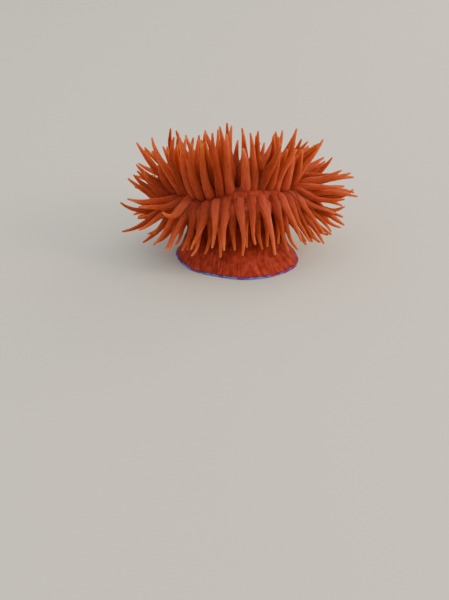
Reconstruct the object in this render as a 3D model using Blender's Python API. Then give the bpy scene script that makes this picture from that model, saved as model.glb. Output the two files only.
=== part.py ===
"""A beadlet anemone, fully open, standing on its foot disc.

The body is a short fleshy column on a wider foot. Its top carries a collar with a row of
beads, and on the collar lie the mouth disc and the crown of tentacles round it. The crown
is parted by thin cuts into sectors. The foot's underside is at height zero, the front of
the animal faces -Y, and bearings are measured from the front towards +X.
"""

import collections
import functools
import math
import random

import bmesh
import bpy
import numpy as np
from mathutils import Vector

MM = 0.001
GAP = 0.3 * MM

# Foot: a flat disc with a thin blue rim, drawn out into a lobe at the front right
FOOT_RADIUS = 16.3 * MM
FOOT_LOBES = ((1, 1.1 * MM, 42.0), (2, 0.7 * MM, 40.0), (3, 0.5 * MM, 50.0), (7, 0.18 * MM, 10.0))
RIM_WIDTH = 0.95 * MM
RIM_HEIGHT = 1.0 * MM
FOOT_TOP = 3.6 * MM

# Column: heights along the body's own axis, which leans and tilts on its way up
WAIST_HEIGHT = 7.1 * MM
COLUMN_TOP = 10.9 * MM
COLLAR_TOP = 12.9 * MM
WAIST_RADIUS = 13.3 * MM
COLLAR_RADIUS = 14.1 * MM
LEAN_SIDE = 1.1 * MM
LEAN_BACK = 0.2 * MM
TILT_BACK = math.radians(10.0)
TILT_SIDE = math.radians(3.5)

# Beads: a ring of stinging sacs just under the tentacles
BEAD_COUNT = 24
BEAD_RADIUS = 0.65 * MM
BEAD_DROP = 0.68 * MM

# Crown: a thick ring with a half-round rim, which carries the tentacles. The rim rises in a wave at
# the front right
CROWN_BOTTOM = COLLAR_TOP + GAP
CROWN_THICKNESS = 3.3 * MM
CROWN_TOP = CROWN_BOTTOM + CROWN_THICKNESS
RIM_CENTRE_RADIUS = 14.0 * MM
CROWN_INNER_RADIUS = 6.6 * MM
RIM_WAVE = 2.3 * MM
RIM_WAVE_AT = math.radians(14.0)
RIM_WAVE_SPAN = math.radians(55.0)
SECTORS = 12

# Mouth disc and lips
MOUTH_DISC_RADIUS = CROWN_INNER_RADIUS - GAP
LIP_RADII = (3.1 * MM, 2.3 * MM)
LIP_HEIGHT = 1.2 * MM
SLIT_RADII = (1.9 * MM, 0.55 * MM)
THROAT_DEPTH = 1.8 * MM

# Tentacles: the rings that they stand in, from the mouth outwards. A ring has its offsets from its
# sector's middle in degrees, its distance from the axis and drop below the crown's top, and then
# the rise over level in degrees at the root, at the tip on the animal's back and at the tip on its
# front. Last come the length, the radius at the root and how long that thickness is kept, on the
# back and on the front
Ring = collections.namedtuple(
    "Ring", "offsets radius drop root_rise back_rise front_rise length thick fullness front_fullness"
)
RINGS = (
    Ring((0.0,), 8.4 * MM, 0.25 * MM, 80.0, 74.0, 86.0, 17.2 * MM, 1.32 * MM, 2.0, 2.0),
    Ring((-5.8, 5.8), 10.8 * MM, 0.15 * MM, 70.0, 58.0, 80.0, 18.0 * MM, 1.28 * MM, 1.9, 1.9),
    Ring((-7.8, 7.8), 13.1 * MM, 0.05 * MM, 54.0, 28.0, 68.0, 18.5 * MM, 1.28 * MM, 1.8, 1.8),
    Ring((-9.2, -1.8, 5.6), 15.1 * MM, 0.5 * MM, 28.0, 6.0, -76.0, 16.8 * MM, 1.2 * MM, 1.5, 1.2),
    Ring((-5.6, 1.8, 9.2), 15.6 * MM, 1.8 * MM, -8.0, -24.0, -90.0, 13.4 * MM, 1.12 * MM, 1.5, 1.2),
)
Tentacle = collections.namedtuple(
    "Tentacle", "sector ring bearing sway more_rise curl hook length thick tone"
)
TIP_RADIUS = 0.32 * MM
ROOT_DEPTH = 1.4 * MM
STEPS = 16

# How a tentacle bends: early, then its curl sets in late, and a hook only past its start, both the
# less the more upright it is. All of them wave a little, each from another place. Those of
# the front hang fully up to the bearing where the cosine is FRONT_WIDTH - FRONT_SHIFT
BEND_POWER = 1.7
CURL_POWER = 2.5
HOOK_START = 0.7
FRONT_SHIFT = 0.25
FRONT_WIDTH = 0.9
FRONT_SHORTER = 0.08
WAVE = 8.0
WAVES = 0.8
GOLDEN_SHARE = 0.618034

# What differs from one tentacle to the next, in degrees or as shares
SEED = 5
BEARING_SPREAD = 0.3
SWAY_SPREAD = 9.0
RISE_SPREAD = 9.0
LENGTH_SPREAD = 0.1
THICK_RANGE = (0.94, 1.04)
CURL_LEFT = 40.0
CURL_RIGHT = 6.0
CURL_RANGE = (0.3, 1.5)
CURL_SPREAD = 8.0
HOOKED_SHARE = 0.14
HOOK_RANGE = (35.0, 60.0)

# The narrow parting between the upright tentacles, right of the middle as seen from the front
PARTING_X = 1.5 * MM
PARTING_HALF = 0.6 * MM
PARTING_FLOOR = 19.0 * MM
PARTING_TOP = 26.0 * MM
PARTING_REACH = 4.0 * MM
PARTING_PULL = 0.3

# Easing: the rounds that bend the tentacles clear of each other, the last ones less stiffly. Pushes
# between tentacles set in from the root, and the clearing of the body a little further out
CLEARANCE = 0.35 * MM
SECTOR_CLEARANCE = 0.75 * MM
ROOT_SQUEEZE = 0.6
EASING_ROUNDS = 110
LAST_ROUNDS = 40
STIFFNESS = 0.16
LAST_STIFFNESS = 0.03
REST_SHARE = 0.9
PUSH = 0.35
SOFTENINGS = 3
LOOSE_FROM = 0.5
FREE_FROM = 1.5
SETTING_IN = 4.0

# Fineness of the surfaces
TUBE_SIDES = 6
TUBE_STOPS = (0, 3, 6, 9, 13, 16)
SIDES = 48
AXIS_STEPS = 60


def smooth_step(value):
    value = np.clip(value, 0.0, 1.0)
    return value * value * (3.0 - 2.0 * value)


def tilt_share(height):
    """How much of the lean and tilt has set in: none on the foot, all of it from the collar up."""
    return smooth_step((height - FOOT_TOP) / (COLUMN_TOP - FOOT_TOP))


def directions(height):
    """Right, back and up of the body's cross-section at a height."""
    back = TILT_BACK * tilt_share(height)
    side = TILT_SIDE * tilt_share(height)
    right = Vector((math.cos(side), 0.0, math.sin(side)))
    up = Vector((-math.sin(side) * math.cos(back), math.sin(back), math.cos(side) * math.cos(back)))
    return right, up.cross(right), up


@functools.lru_cache(maxsize=None)
def body_frame(height):
    """Centre, right, back and up of the cross-section. Heights run along the body's bent axis."""
    share = tilt_share(height)
    centre = Vector((LEAN_SIDE * share, LEAN_BACK * share, 0.0))
    for step in range(AXIS_STEPS):
        centre += directions(height * (step + 0.5) / AXIS_STEPS)[2] * (height / AXIS_STEPS)
    return centre, *directions(height)


def body_point(height, bearing, radius, lift=0.0):
    centre, right, back, up = body_frame(height)
    return centre + right * (radius * math.sin(bearing)) - back * (radius * math.cos(bearing)) + up * lift


def foot_radius(bearing):
    lobes = (
        size * math.cos(waves * (bearing - math.radians(at))) for waves, size, at in FOOT_LOBES
    )
    return FOOT_RADIUS + sum(lobes)


def flank_radius(height, bearing):
    """The column's outline above the rim: the foot's lobes fade out as it narrows to the waist."""
    share = smooth_step((height - 0.3 * RIM_HEIGHT) / (WAIST_HEIGHT - 0.3 * RIM_HEIGHT))
    share = share ** 0.42
    radius = foot_radius(bearing) * (1.0 - share) + WAIST_RADIUS * share
    swell = smooth_step((height - WAIST_HEIGHT) / (0.5 * (COLUMN_TOP + COLLAR_TOP) - WAIST_HEIGHT))
    return radius + (COLLAR_RADIUS - WAIST_RADIUS) * swell


def crown_lift(bearing, radius):
    """How far the wave in the rim raises the crown's top."""
    away = (bearing - RIM_WAVE_AT + math.pi) % (2.0 * math.pi) - math.pi
    out = smooth_step((radius - CROWN_INNER_RADIUS) / (RIM_CENTRE_RADIUS - CROWN_INNER_RADIUS))
    return RIM_WAVE * smooth_step(1.0 - abs(away) / RIM_WAVE_SPAN) * out


def crown_point(bearing, radius, height):
    """A point of the crown at a height over its bottom, stretched by the wave in the rim."""
    lift = crown_lift(bearing, radius) * height / CROWN_THICKNESS
    return body_point(CROWN_BOTTOM, bearing, radius, height + lift)


def bearings(count=SIDES):
    return [2.0 * math.pi * step / count for step in range(count)]


def add_loft(mesh, rings, closed_ends=True):
    """Skins a stack of equal rings. Open ends are joined to each other, which makes a closed tube."""
    rows = [[mesh.verts.new(point) for point in ring] for ring in rings]
    pairs = list(zip(rows, rows[1:]))
    if not closed_ends:
        pairs.append((rows[-1], rows[0]))
    for low, high in pairs:
        count = len(low)
        for step in range(count):
            after = (step + 1) % count
            mesh.faces.new((low[step], low[after], high[after], high[step]))
    if closed_ends:
        mesh.faces.new(rows[0][::-1])
        mesh.faces.new(rows[-1])


def material(name, colour, roughness):
    made = bpy.data.materials.get(name)
    if made is None:
        made = bpy.data.materials.new(name)
        made.use_nodes = True
        shader = made.node_tree.nodes["Principled BSDF"]
        shader.inputs["Base Color"].default_value = (*colour, 1.0)
        shader.inputs["Roughness"].default_value = roughness
        shader.inputs["Metallic"].default_value = 0.0
    return made


def finish_object(name, mesh, look):
    bmesh.ops.recalc_face_normals(mesh, faces=mesh.faces)
    data = bpy.data.meshes.new(name)
    mesh.to_mesh(data)
    mesh.free()
    data.shade_smooth()
    data.set_sharp_from_angle(angle=math.radians(40.0))
    data.materials.append(look)
    made = bpy.data.objects.new(name, data)
    bpy.context.scene.collection.objects.link(made)
    return made


def build_foot_rim(look):
    outline = ((-RIM_WIDTH, 0.0), (-0.15 * MM, 0.0), (0.0, 0.35 * MM), (-0.25 * MM, 0.8 * MM),
               (-RIM_WIDTH, RIM_HEIGHT))
    rings = []
    for inset, height in outline:
        rings.append([body_point(height, b, foot_radius(b) + inset) for b in bearings()])
    mesh = bmesh.new()
    add_loft(mesh, rings, closed_ends=False)
    return finish_object("foot_rim", mesh, look)


def build_foot_disc(look):
    inner = RIM_WIDTH + GAP
    rings = [[body_point(height, b, foot_radius(b) - inner) for b in bearings()]
             for height in (0.0, RIM_HEIGHT)]
    for height in (1.25 * RIM_HEIGHT, 0.65 * FOOT_TOP, FOOT_TOP):
        rings.append([body_point(height, b, min(flank_radius(height, b), foot_radius(b) - inner))
                      for b in bearings()])
    mesh = bmesh.new()
    add_loft(mesh, rings)
    return finish_object("foot_disc", mesh, look)


def flank_rings(low, high, count):
    """Rings of the column's wall from a cut at one height, raised by the gap, to another height."""
    rings = []
    for step in range(count):
        height = low + (high - low) * step / (count - 1)
        lift = GAP if step == 0 else 0.0
        rings.append([body_point(height, b, flank_radius(height, b), lift) for b in bearings()])
    return rings


def build_column(name, low, high, look):
    mesh = bmesh.new()
    add_loft(mesh, flank_rings(low, high, 4))
    return finish_object(name, mesh, look)


def union_of(name, body, pieces, look):
    """Joins the pieces into the body and keeps the largest closed surface."""
    gathered = bpy.data.collections.new(name + "_pieces")
    bpy.context.scene.collection.children.link(gathered)
    for piece in pieces:
        bpy.context.scene.collection.objects.unlink(piece)
        gathered.objects.link(piece)
    join = body.modifiers.new("join", "BOOLEAN")
    join.operand_type = "COLLECTION"
    join.collection = gathered
    join.operation = "UNION"
    join.solver = "MANIFOLD"
    graph = bpy.context.evaluated_depsgraph_get()
    data = bpy.data.meshes.new_from_object(body.evaluated_get(graph))
    body.modifiers.clear()
    for piece in pieces:
        bpy.data.objects.remove(piece)
    bpy.data.collections.remove(gathered)
    mesh = bmesh.new()
    mesh.from_mesh(data)
    keep_largest(mesh)
    bpy.data.objects.remove(body)
    return finish_object(name, mesh, look)


def keep_largest(mesh):
    left = set(mesh.verts)
    islands = []
    while left:
        stack = [left.pop()]
        island = set(stack)
        while stack:
            for edge in stack.pop().link_edges:
                for vert in edge.verts:
                    if vert in left:
                        left.remove(vert)
                        island.add(vert)
                        stack.append(vert)
        islands.append(island)
    biggest = max(islands, key=len)
    loose = [vert for vert in mesh.verts if vert not in biggest]
    bmesh.ops.delete(mesh, geom=loose, context="VERTS")


def build_collar(look):
    """The collar at the top of the column, with its ring of beads."""
    height = COLLAR_TOP - BEAD_DROP
    body_mesh = bmesh.new()
    add_loft(body_mesh, flank_rings(COLUMN_TOP, COLLAR_TOP, 4))
    body = finish_object("collar_body", body_mesh, look)
    beads = []
    for number in range(BEAD_COUNT):
        bearing = 2.0 * math.pi * (number + 0.5) / BEAD_COUNT
        mesh = bmesh.new()
        bmesh.ops.create_icosphere(mesh, subdivisions=2, radius=BEAD_RADIUS)
        seat = flank_radius(height, bearing) - 0.4 * BEAD_RADIUS
        bmesh.ops.translate(mesh, verts=mesh.verts, vec=body_point(height, bearing, seat))
        beads.append(finish_object(f"bead_{number}", mesh, look))
    return union_of("collar", body, beads, look)


def build_mouth_disc(look):
    """The bare disc inside the crown, with the throat sunk in its middle."""
    floor = THROAT_DEPTH
    rings = [[body_point(CROWN_BOTTOM, b, MOUTH_DISC_RADIUS) for b in bearings()],
             [body_point(CROWN_TOP, b, MOUTH_DISC_RADIUS, -0.35 * MM) for b in bearings()],
             [body_point(CROWN_TOP, b, 1.35 * LIP_RADII[0]) for b in bearings()]]
    for share, depth in ((1.15, 0.0), (1.0, 0.3 * floor), (0.8, floor)):
        rings.append([oval_point(CROWN_TOP, b, SLIT_RADII, share, -depth) for b in bearings()])
    mesh = bmesh.new()
    add_loft(mesh, rings)
    return finish_object("mouth_disc", mesh, look)


def oval_point(height, bearing, radii, share, lift):
    centre, right, back, up = body_frame(height)
    along = right * (radii[0] * share * math.sin(bearing))
    across = back * (radii[1] * share * math.cos(bearing))
    return centre + along - across + up * lift


def build_lips(look):
    """The raised, folded ring of flesh round the mouth slit."""
    outline = ((0.0, 0.0), (0.0, 1.0), (0.35, 1.0), (0.75, 0.72), (1.0, 0.3), (1.0, 0.0))
    rings = []
    for out, up_share in outline:
        ring = []
        for b in bearings():
            inner = oval_point(CROWN_TOP, b, SLIT_RADII, 1.15, 0.0)
            fold = 1.0 + 0.05 * math.cos(12.0 * b)
            outer = oval_point(CROWN_TOP, b, LIP_RADII, fold, 0.0)
            lift = body_frame(CROWN_TOP)[3] * (GAP + LIP_HEIGHT * up_share)
            ring.append(inner.lerp(outer, out) + lift)
        rings.append(ring)
    mesh = bmesh.new()
    add_loft(mesh, rings, closed_ends=False)
    return finish_object("lips", mesh, look)


def crown_outline():
    """The crown ring's cut face, as distance from the axis and height over the crown's bottom."""
    half = 0.5 * CROWN_THICKNESS
    points = [(CROWN_INNER_RADIUS, CROWN_THICKNESS - 0.35 * MM), (CROWN_INNER_RADIUS, 0.0)]
    for step in range(7):
        turn = math.pi * (step / 6.0 - 0.5)
        points.append((RIM_CENTRE_RADIUS + half * math.cos(turn), half + half * math.sin(turn)))
    return points


def sector_sections(outline, sector, count):
    """Copies of an outline swept through a sector, whose end faces are parallel to its cuts."""
    width = 2.0 * math.pi / SECTORS
    sections = []
    for step in range(count):
        share = step / (count - 1)
        section = []
        for radius, height in outline:
            edge = math.asin(0.5 * GAP / radius)
            bearing = sector * width + edge + (width - 2.0 * edge) * share
            section.append(crown_point(bearing, radius, height))
        sections.append(section)
    return sections


def front_share(bearing):
    """How much a tentacle hangs as the front ones do: 1 over the front, 0 at the back."""
    return smooth_step((math.cos(bearing) + FRONT_SHIFT) / FRONT_WIDTH)


def lay_out():
    """Every tentacle with its ring, its bearing and what sets it apart, sector by sector."""
    dice = random.Random(SEED)
    tentacles = []
    for sector in range(SECTORS):
        middle = 2.0 * math.pi * (sector + 0.5) / SECTORS
        for ring in RINGS:
            for offset in ring.offsets:
                bearing = middle + math.radians(offset + dice.uniform(-BEARING_SPREAD, BEARING_SPREAD))
                side = math.sin(bearing)
                curl = CURL_RIGHT * max(side, 0.0) + CURL_LEFT * max(-side, 0.0)
                hooked = dice.random() < HOOKED_SHARE
                length = ring.length * (1.0 - FRONT_SHORTER * front_share(bearing))
                tentacles.append(Tentacle(
                    sector=sector,
                    ring=ring,
                    bearing=bearing,
                    sway=math.radians(dice.gauss(0.0, SWAY_SPREAD)),
                    more_rise=dice.gauss(0.0, RISE_SPREAD),
                    curl=curl * dice.uniform(*CURL_RANGE) + dice.gauss(0.0, CURL_SPREAD),
                    hook=dice.uniform(*HOOK_RANGE) * hooked,
                    length=length * (1.0 + dice.uniform(-LENGTH_SPREAD, LENGTH_SPREAD)),
                    thick=ring.thick * dice.uniform(*THICK_RANGE),
                    tone=math.modf(len(tentacles) * GOLDEN_SHARE)[0],
                ))
    return tentacles


def growing_way(tentacle, share):
    """The direction that a tentacle grows in at a share of its length. Tips heed the true upright."""
    ring = tentacle.ring
    front = front_share(tentacle.bearing)
    tip_rise = ring.back_rise + (ring.front_rise - ring.back_rise) * front + tentacle.more_rise
    bent = (tip_rise - ring.root_rise) * (1.0 - (1.0 - share) ** BEND_POWER)
    level = math.cos(math.radians(min(max(tip_rise, 0.0), 90.0)))
    curl = level * tentacle.curl * share ** CURL_POWER
    hook = level * tentacle.hook * smooth_step((share - HOOK_START) / (1.0 - HOOK_START))
    turn = 2.0 * math.pi * (WAVES * share + tentacle.tone)
    wave = WAVE * smooth_step(4.0 * share)
    rise = math.radians(ring.root_rise + bent + curl + hook + wave * math.cos(turn))
    heading = tentacle.bearing + tentacle.sway * share + math.radians(wave) * math.sin(turn)
    out = math.cos(rise)
    plumb = Vector((out * math.sin(heading), -out * math.cos(heading), math.sin(rise)))
    right, back, up = body_frame(CROWN_TOP)[1:]
    tilted = right * plumb.x + back * plumb.y + up * plumb.z
    return tilted.lerp(plumb, share).normalized()


def grow(tentacle):
    """The centreline of a tentacle, from below the crown's skin to its tip."""
    ring = tentacle.ring
    stride = (tentacle.length + ROOT_DEPTH) / STEPS
    root = crown_point(tentacle.bearing, ring.radius, CROWN_THICKNESS - ring.drop)
    points = [root - growing_way(tentacle, 0.0) * ROOT_DEPTH]
    for step in range(STEPS):
        points.append(points[-1] + growing_way(tentacle, step / (STEPS - 1)) * stride)
    return points


def tentacle_radii(tentacle):
    ring = tentacle.ring
    fullness = ring.fullness + (ring.front_fullness - ring.fullness) * front_share(tentacle.bearing)
    span = tentacle.thick - TIP_RADIUS
    shares = [step / STEPS for step in range(STEPS + 1)]
    return [TIP_RADIUS + span * (1.0 - share ** fullness) for share in shares]


def wanted_distances(radii, sectors, free):
    """How far apart any two points of two tentacles are to lie, and zero within one tentacle.

    Tentacles of one sector may touch at their roots, where they are joined.
    """
    count, stops = radii.shape
    owner = np.repeat(np.arange(count), stops)
    sector = np.repeat(sectors, stops)
    eased = np.tile(free, count)
    eased = np.minimum(eased[:, None], eased[None, :])
    together = radii.reshape(-1, 1) + radii.reshape(1, -1)
    joined = together * (ROOT_SQUEEZE + (1.0 - ROOT_SQUEEZE) * eased) + CLEARANCE * eased
    wanted = np.where(sector[:, None] == sector[None, :], joined, together + SECTOR_CLEARANCE)
    wanted[owner[:, None] == owner[None, :]] = 0.0
    return wanted


def pushed_apart(lines, wanted, loose):
    """Each point moved off the points that are too near it, with the moves evened out along a line."""
    flat = lines.reshape(-1, 3)
    sizes = (flat ** 2).sum(axis=1)
    squares = sizes[:, None] + sizes[None, :] - 2.0 * flat @ flat.T
    apart = np.sqrt(np.maximum(squares, (0.001 * MM) ** 2))
    first, second = np.nonzero(apart < wanted)
    share = PUSH * (wanted[first, second] / apart[first, second] - 1.0)
    moves = np.zeros_like(flat)
    np.add.at(moves, first, share[:, None] * (flat[first] - flat[second]))
    moves = moves.reshape(lines.shape)
    for _ in range(SOFTENINGS):
        padded = np.concatenate([moves[:, :1], moves, moves[:, -1:]], axis=1)
        moves = 0.25 * padded[:, :-2] + 0.5 * moves + 0.25 * padded[:, 2:]
    return lines + moves * loose[None, :, None]


def seen_from_axis(lines):
    """Each point's way across from the body's axis, how far that is, and its height over the crown."""
    centre, right, back, up = (np.array(part) for part in body_frame(CROWN_TOP))
    offset = lines - centre
    height = offset @ up
    across = offset - height[..., None] * up
    distance = np.linalg.norm(across, axis=2)
    lift = crown_lift(np.arctan2(offset @ right, -offset @ back), distance)
    return across, distance, height - lift


def cleared_of_body(lines, radii, free):
    """Points below the crown's top moved out past its rim, and all of them up off the foot."""
    across, distance, height = seen_from_axis(lines)
    room = RIM_CENTRE_RADIUS + 0.5 * CROWN_THICKNESS + radii + 2.0 * CLEARANCE
    short = np.where((height < 0.0) & (distance < room), room - distance, 0.0)
    lines = lines + across / distance[..., None] * (short * free)[..., None]
    floor = np.where(free > 0.0, FOOT_TOP + radii + CLEARANCE, 0.0)
    lines[..., 2] = np.maximum(lines[..., 2], floor)
    return lines


def kept_in_sectors(lines, radii, sectors):
    """Points near the crown moved in from the edges of their sector: its two cuts and the mouth disc."""
    right, back = (np.array(part) for part in body_frame(CROWN_TOP)[1:3])
    across, distance, height = seen_from_axis(lines)
    half = 0.5 * CROWN_THICKNESS
    past_rim = np.hypot(distance - RIM_CENTRE_RADIUS, height + half) - half
    above = np.where(distance < RIM_CENTRE_RADIUS, height, past_rim)
    near = above < radii + 3.0 * GAP
    short = np.maximum(CROWN_INNER_RADIUS + radii + 0.5 * GAP - distance, 0.0) * near
    lines = lines + across / distance[..., None] * short[..., None]
    for side, cuts in ((1.0, sectors), (-1.0, sectors + 1)):
        bearing = 2.0 * math.pi * cuts / SECTORS
        inward = side * (np.cos(bearing)[:, None] * right + np.sin(bearing)[:, None] * back)
        inside = (across * inward[:, None]).sum(axis=2)
        short = np.maximum(radii + 1.5 * GAP - inside, 0.0) * near
        lines = lines + short[..., None] * inward[:, None]
    return lines


def parted(lines, radii, free):
    """Upright tentacles near the parting drawn to the side of it that they are mostly on."""
    upper = lines[..., 2] > PARTING_FLOOR
    aside = lines[..., 0] - PARTING_X
    mean = (aside * upper).sum(axis=1) / np.maximum(upper.sum(axis=1), 1)
    side = np.where(mean < 0.0, -1.0, 1.0)[:, None]
    near = np.abs(mean)[:, None] < PARTING_REACH
    strength = np.clip((lines[..., 2] - PARTING_FLOOR) / (PARTING_TOP - PARTING_FLOOR), 0.0, 1.0)
    short = np.maximum(PARTING_HALF + radii - side * aside, 0.0) * near
    lines[..., 0] += PARTING_PULL * side * short * strength * free
    return lines


def bends(lines):
    return lines[:, :-2] + lines[:, 2:] - 2.0 * lines[:, 1:-1]


def springing_back(lines, rest, free, stiffness):
    """Each bend eased back towards the one that the tentacle grew with."""
    lines[:, 1:-1] += stiffness * (bends(lines) - REST_SHARE * rest) * free[None, 1:-1, None]
    return lines


def with_strides(lines, strides):
    """The lines with each step back at its own length, worked out from the root."""
    for step in range(1, lines.shape[1]):
        way = lines[:, step] - lines[:, step - 1]
        way *= (strides[:, step - 1] / np.linalg.norm(way, axis=1))[:, None]
        lines[:, step] = lines[:, step - 1] + way
    return lines


@functools.lru_cache(maxsize=None)
def grown_crown():
    """Every tentacle with its centreline and radii, bent clear of each other and of the body."""
    tentacles = lay_out()
    lines = np.array([grow(tentacle) for tentacle in tentacles])
    radii = np.array([tentacle_radii(tentacle) for tentacle in tentacles])
    sectors = np.array([tentacle.sector for tentacle in tentacles])
    strides = np.linalg.norm(np.diff(lines, axis=1), axis=2)
    rest = bends(lines)
    free = np.array([smooth_step((step - FREE_FROM) / SETTING_IN) for step in range(STEPS + 1)])
    loose = np.array([smooth_step((step - LOOSE_FROM) / SETTING_IN) for step in range(STEPS + 1)])
    wanted = wanted_distances(radii, sectors, free)
    for turn in range(EASING_ROUNDS):
        last = turn >= EASING_ROUNDS - LAST_ROUNDS
        lines = pushed_apart(lines, wanted, loose)
        lines = cleared_of_body(lines, radii, free)
        lines = parted(lines, radii, free)
        lines = springing_back(lines, rest, free, LAST_STIFFNESS if last else STIFFNESS)
        lines = kept_in_sectors(lines, radii, sectors)
        lines = with_strides(lines, strides)
    return tentacles, lines, radii


def tube_rings(line, radii, sides):
    """Rings of points round a centreline, turned as little as possible from one to the next."""
    points = [Vector(point) for point in line]
    side = Vector((0.0, 0.0, 1.0)).cross(points[1] - points[0])
    if side.length < 1e-6:
        side = Vector((1.0, 0.0, 0.0))
    rings = []
    for step, point in enumerate(points):
        before = points[max(step - 1, 0)]
        after = points[min(step + 1, len(points) - 1)]
        way = (after - before).normalized()
        side = (side - way * side.dot(way)).normalized()
        other = way.cross(side)
        turns = [2.0 * math.pi * corner / sides for corner in range(sides)]
        rings.append([point + (side * math.cos(t) + other * math.sin(t)) * radii[step] for t in turns])
    return rings


def add_tentacle(mesh, line, radii):
    """A tapered tube, flat at its sunk root and pointed at its tip."""
    stops = list(TUBE_STOPS)
    rings = tube_rings(line[stops], radii[stops], TUBE_SIDES)
    rows = [[mesh.verts.new(point) for point in ring] for ring in rings]
    last = Vector(line[-1])
    tip = mesh.verts.new(last + (last - Vector(line[-2])).normalized() * radii[-1])
    for low, high in zip(rows, rows[1:]):
        for corner in range(TUBE_SIDES):
            after = (corner + 1) % TUBE_SIDES
            mesh.faces.new((low[corner], low[after], high[after], high[corner]))
    for corner in range(TUBE_SIDES):
        mesh.faces.new((rows[-1][corner], rows[-1][(corner + 1) % TUBE_SIDES], tip))
    mesh.faces.new(rows[0][::-1])


def build_tentacles(sector, look):
    """One sector of the crown: its wedge of the ring, with the tentacles that grow from it."""
    mesh = bmesh.new()
    add_loft(mesh, sector_sections(crown_outline(), sector, 4))
    wedge = finish_object(f"wedge_{sector}", mesh, look)
    pieces = []
    for tentacle, line, radii in zip(*grown_crown()):
        if tentacle.sector == sector:
            mesh = bmesh.new()
            add_tentacle(mesh, line, radii)
            pieces.append(finish_object(f"tentacle_{len(pieces)}", mesh, look))
    return union_of(f"tentacles_{sector + 1:02d}", wedge, pieces, look)


def main():
    for old in list(bpy.data.objects):
        bpy.data.objects.remove(old)
    column_red = material("column_red", (0.16, 0.008, 0.006), 0.35)
    rim_blue = material("rim_blue", (0.07, 0.11, 0.42), 0.4)
    foot_red = material("foot_red", (0.30, 0.010, 0.006), 0.35)
    tentacle_red = material("tentacle_red", (0.36, 0.040, 0.012), 0.4)
    mouth_red = material("mouth_red", (0.26, 0.015, 0.012), 0.35)
    build_foot_rim(rim_blue)
    build_foot_disc(foot_red)
    build_column("column_lower", FOOT_TOP, WAIST_HEIGHT, column_red)
    build_column("column_upper", WAIST_HEIGHT, COLUMN_TOP, column_red)
    build_collar(column_red)
    build_mouth_disc(mouth_red)
    build_lips(mouth_red)
    for sector in range(SECTORS):
        build_tentacles(sector, tentacle_red)


if __name__ == "__main__":
    main()
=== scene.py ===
"""The looks of a beadlet anemone: its flesh, its blue line and beads, and its open crown.

Sizes are in metres. The foot's underside is at height zero, the front of the animal faces -Y, and
bearings are measured from the front towards +X. Heights run along the body's own bent axis.
"""

import collections
import functools
import math
import random

import bmesh
import bpy
import numpy as np
from mathutils import Matrix, Vector, noise


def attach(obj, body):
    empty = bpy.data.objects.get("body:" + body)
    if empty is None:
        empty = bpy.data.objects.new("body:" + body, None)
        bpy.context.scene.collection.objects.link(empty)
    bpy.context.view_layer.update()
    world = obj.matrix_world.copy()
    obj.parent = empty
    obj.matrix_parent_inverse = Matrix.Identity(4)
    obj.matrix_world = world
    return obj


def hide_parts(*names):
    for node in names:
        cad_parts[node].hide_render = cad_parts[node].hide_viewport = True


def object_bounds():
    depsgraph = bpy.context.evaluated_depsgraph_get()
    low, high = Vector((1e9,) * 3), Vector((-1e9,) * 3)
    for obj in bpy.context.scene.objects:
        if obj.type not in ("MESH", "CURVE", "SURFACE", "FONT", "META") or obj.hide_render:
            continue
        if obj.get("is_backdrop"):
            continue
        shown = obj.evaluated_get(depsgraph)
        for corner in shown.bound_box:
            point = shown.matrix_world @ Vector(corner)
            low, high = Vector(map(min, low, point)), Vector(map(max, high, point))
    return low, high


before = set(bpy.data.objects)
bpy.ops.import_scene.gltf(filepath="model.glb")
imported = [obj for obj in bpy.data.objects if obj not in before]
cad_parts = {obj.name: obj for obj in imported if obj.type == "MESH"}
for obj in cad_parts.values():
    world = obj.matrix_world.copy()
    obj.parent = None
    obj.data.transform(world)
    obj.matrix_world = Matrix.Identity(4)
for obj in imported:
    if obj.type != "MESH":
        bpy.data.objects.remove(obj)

bl_info = {
    "name": "Beadlet Anemone",
    "version": (1, 0, 0),
    "blender": (4, 5, 0),
    "location": "View3D > Sidebar > Anemone",
    "description": "Dresses the solid model of a beadlet anemone with its skin, line, beads and tentacles",
    "category": "Object",
}

MM = 0.001
SOLIDS_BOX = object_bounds()
BODY = "root"
SECTORS = 12
SKIN_NODES = ("foot_disc", "column_lower", "column_upper", "collar", "mouth_disc", "lips")
TENTACLE_NODES = [f"tentacles_{number + 1:02d}" for number in range(SECTORS)]

# Foot and column, as in the solids. A lobe of the foot has its waves round the foot, its size and
# its place in degrees
GAP = 0.3 * MM
FOOT_RADIUS = 16.3 * MM
FOOT_LOBES = ((1, 1.1 * MM, 42.0), (2, 0.7 * MM, 40.0), (3, 0.5 * MM, 50.0), (7, 0.18 * MM, 10.0))
RIM_HEIGHT = 1.0 * MM
FOOT_TOP = 3.6 * MM
WAIST_HEIGHT = 7.1 * MM
COLUMN_TOP = 10.9 * MM
COLLAR_TOP = 12.9 * MM
WAIST_RADIUS = 13.3 * MM
COLLAR_RADIUS = 14.1 * MM
FLARE_START = 0.3 * RIM_HEIGHT
FLARE_POWER = 0.42
SWELL_TOP = 0.5 * (COLUMN_TOP + COLLAR_TOP)
LEAN_SIDE = 1.1 * MM
LEAN_BACK = 0.2 * MM
TILT_BACK = math.radians(10.0)
TILT_SIDE = math.radians(3.5)
AXIS_STEPS = 60

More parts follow.
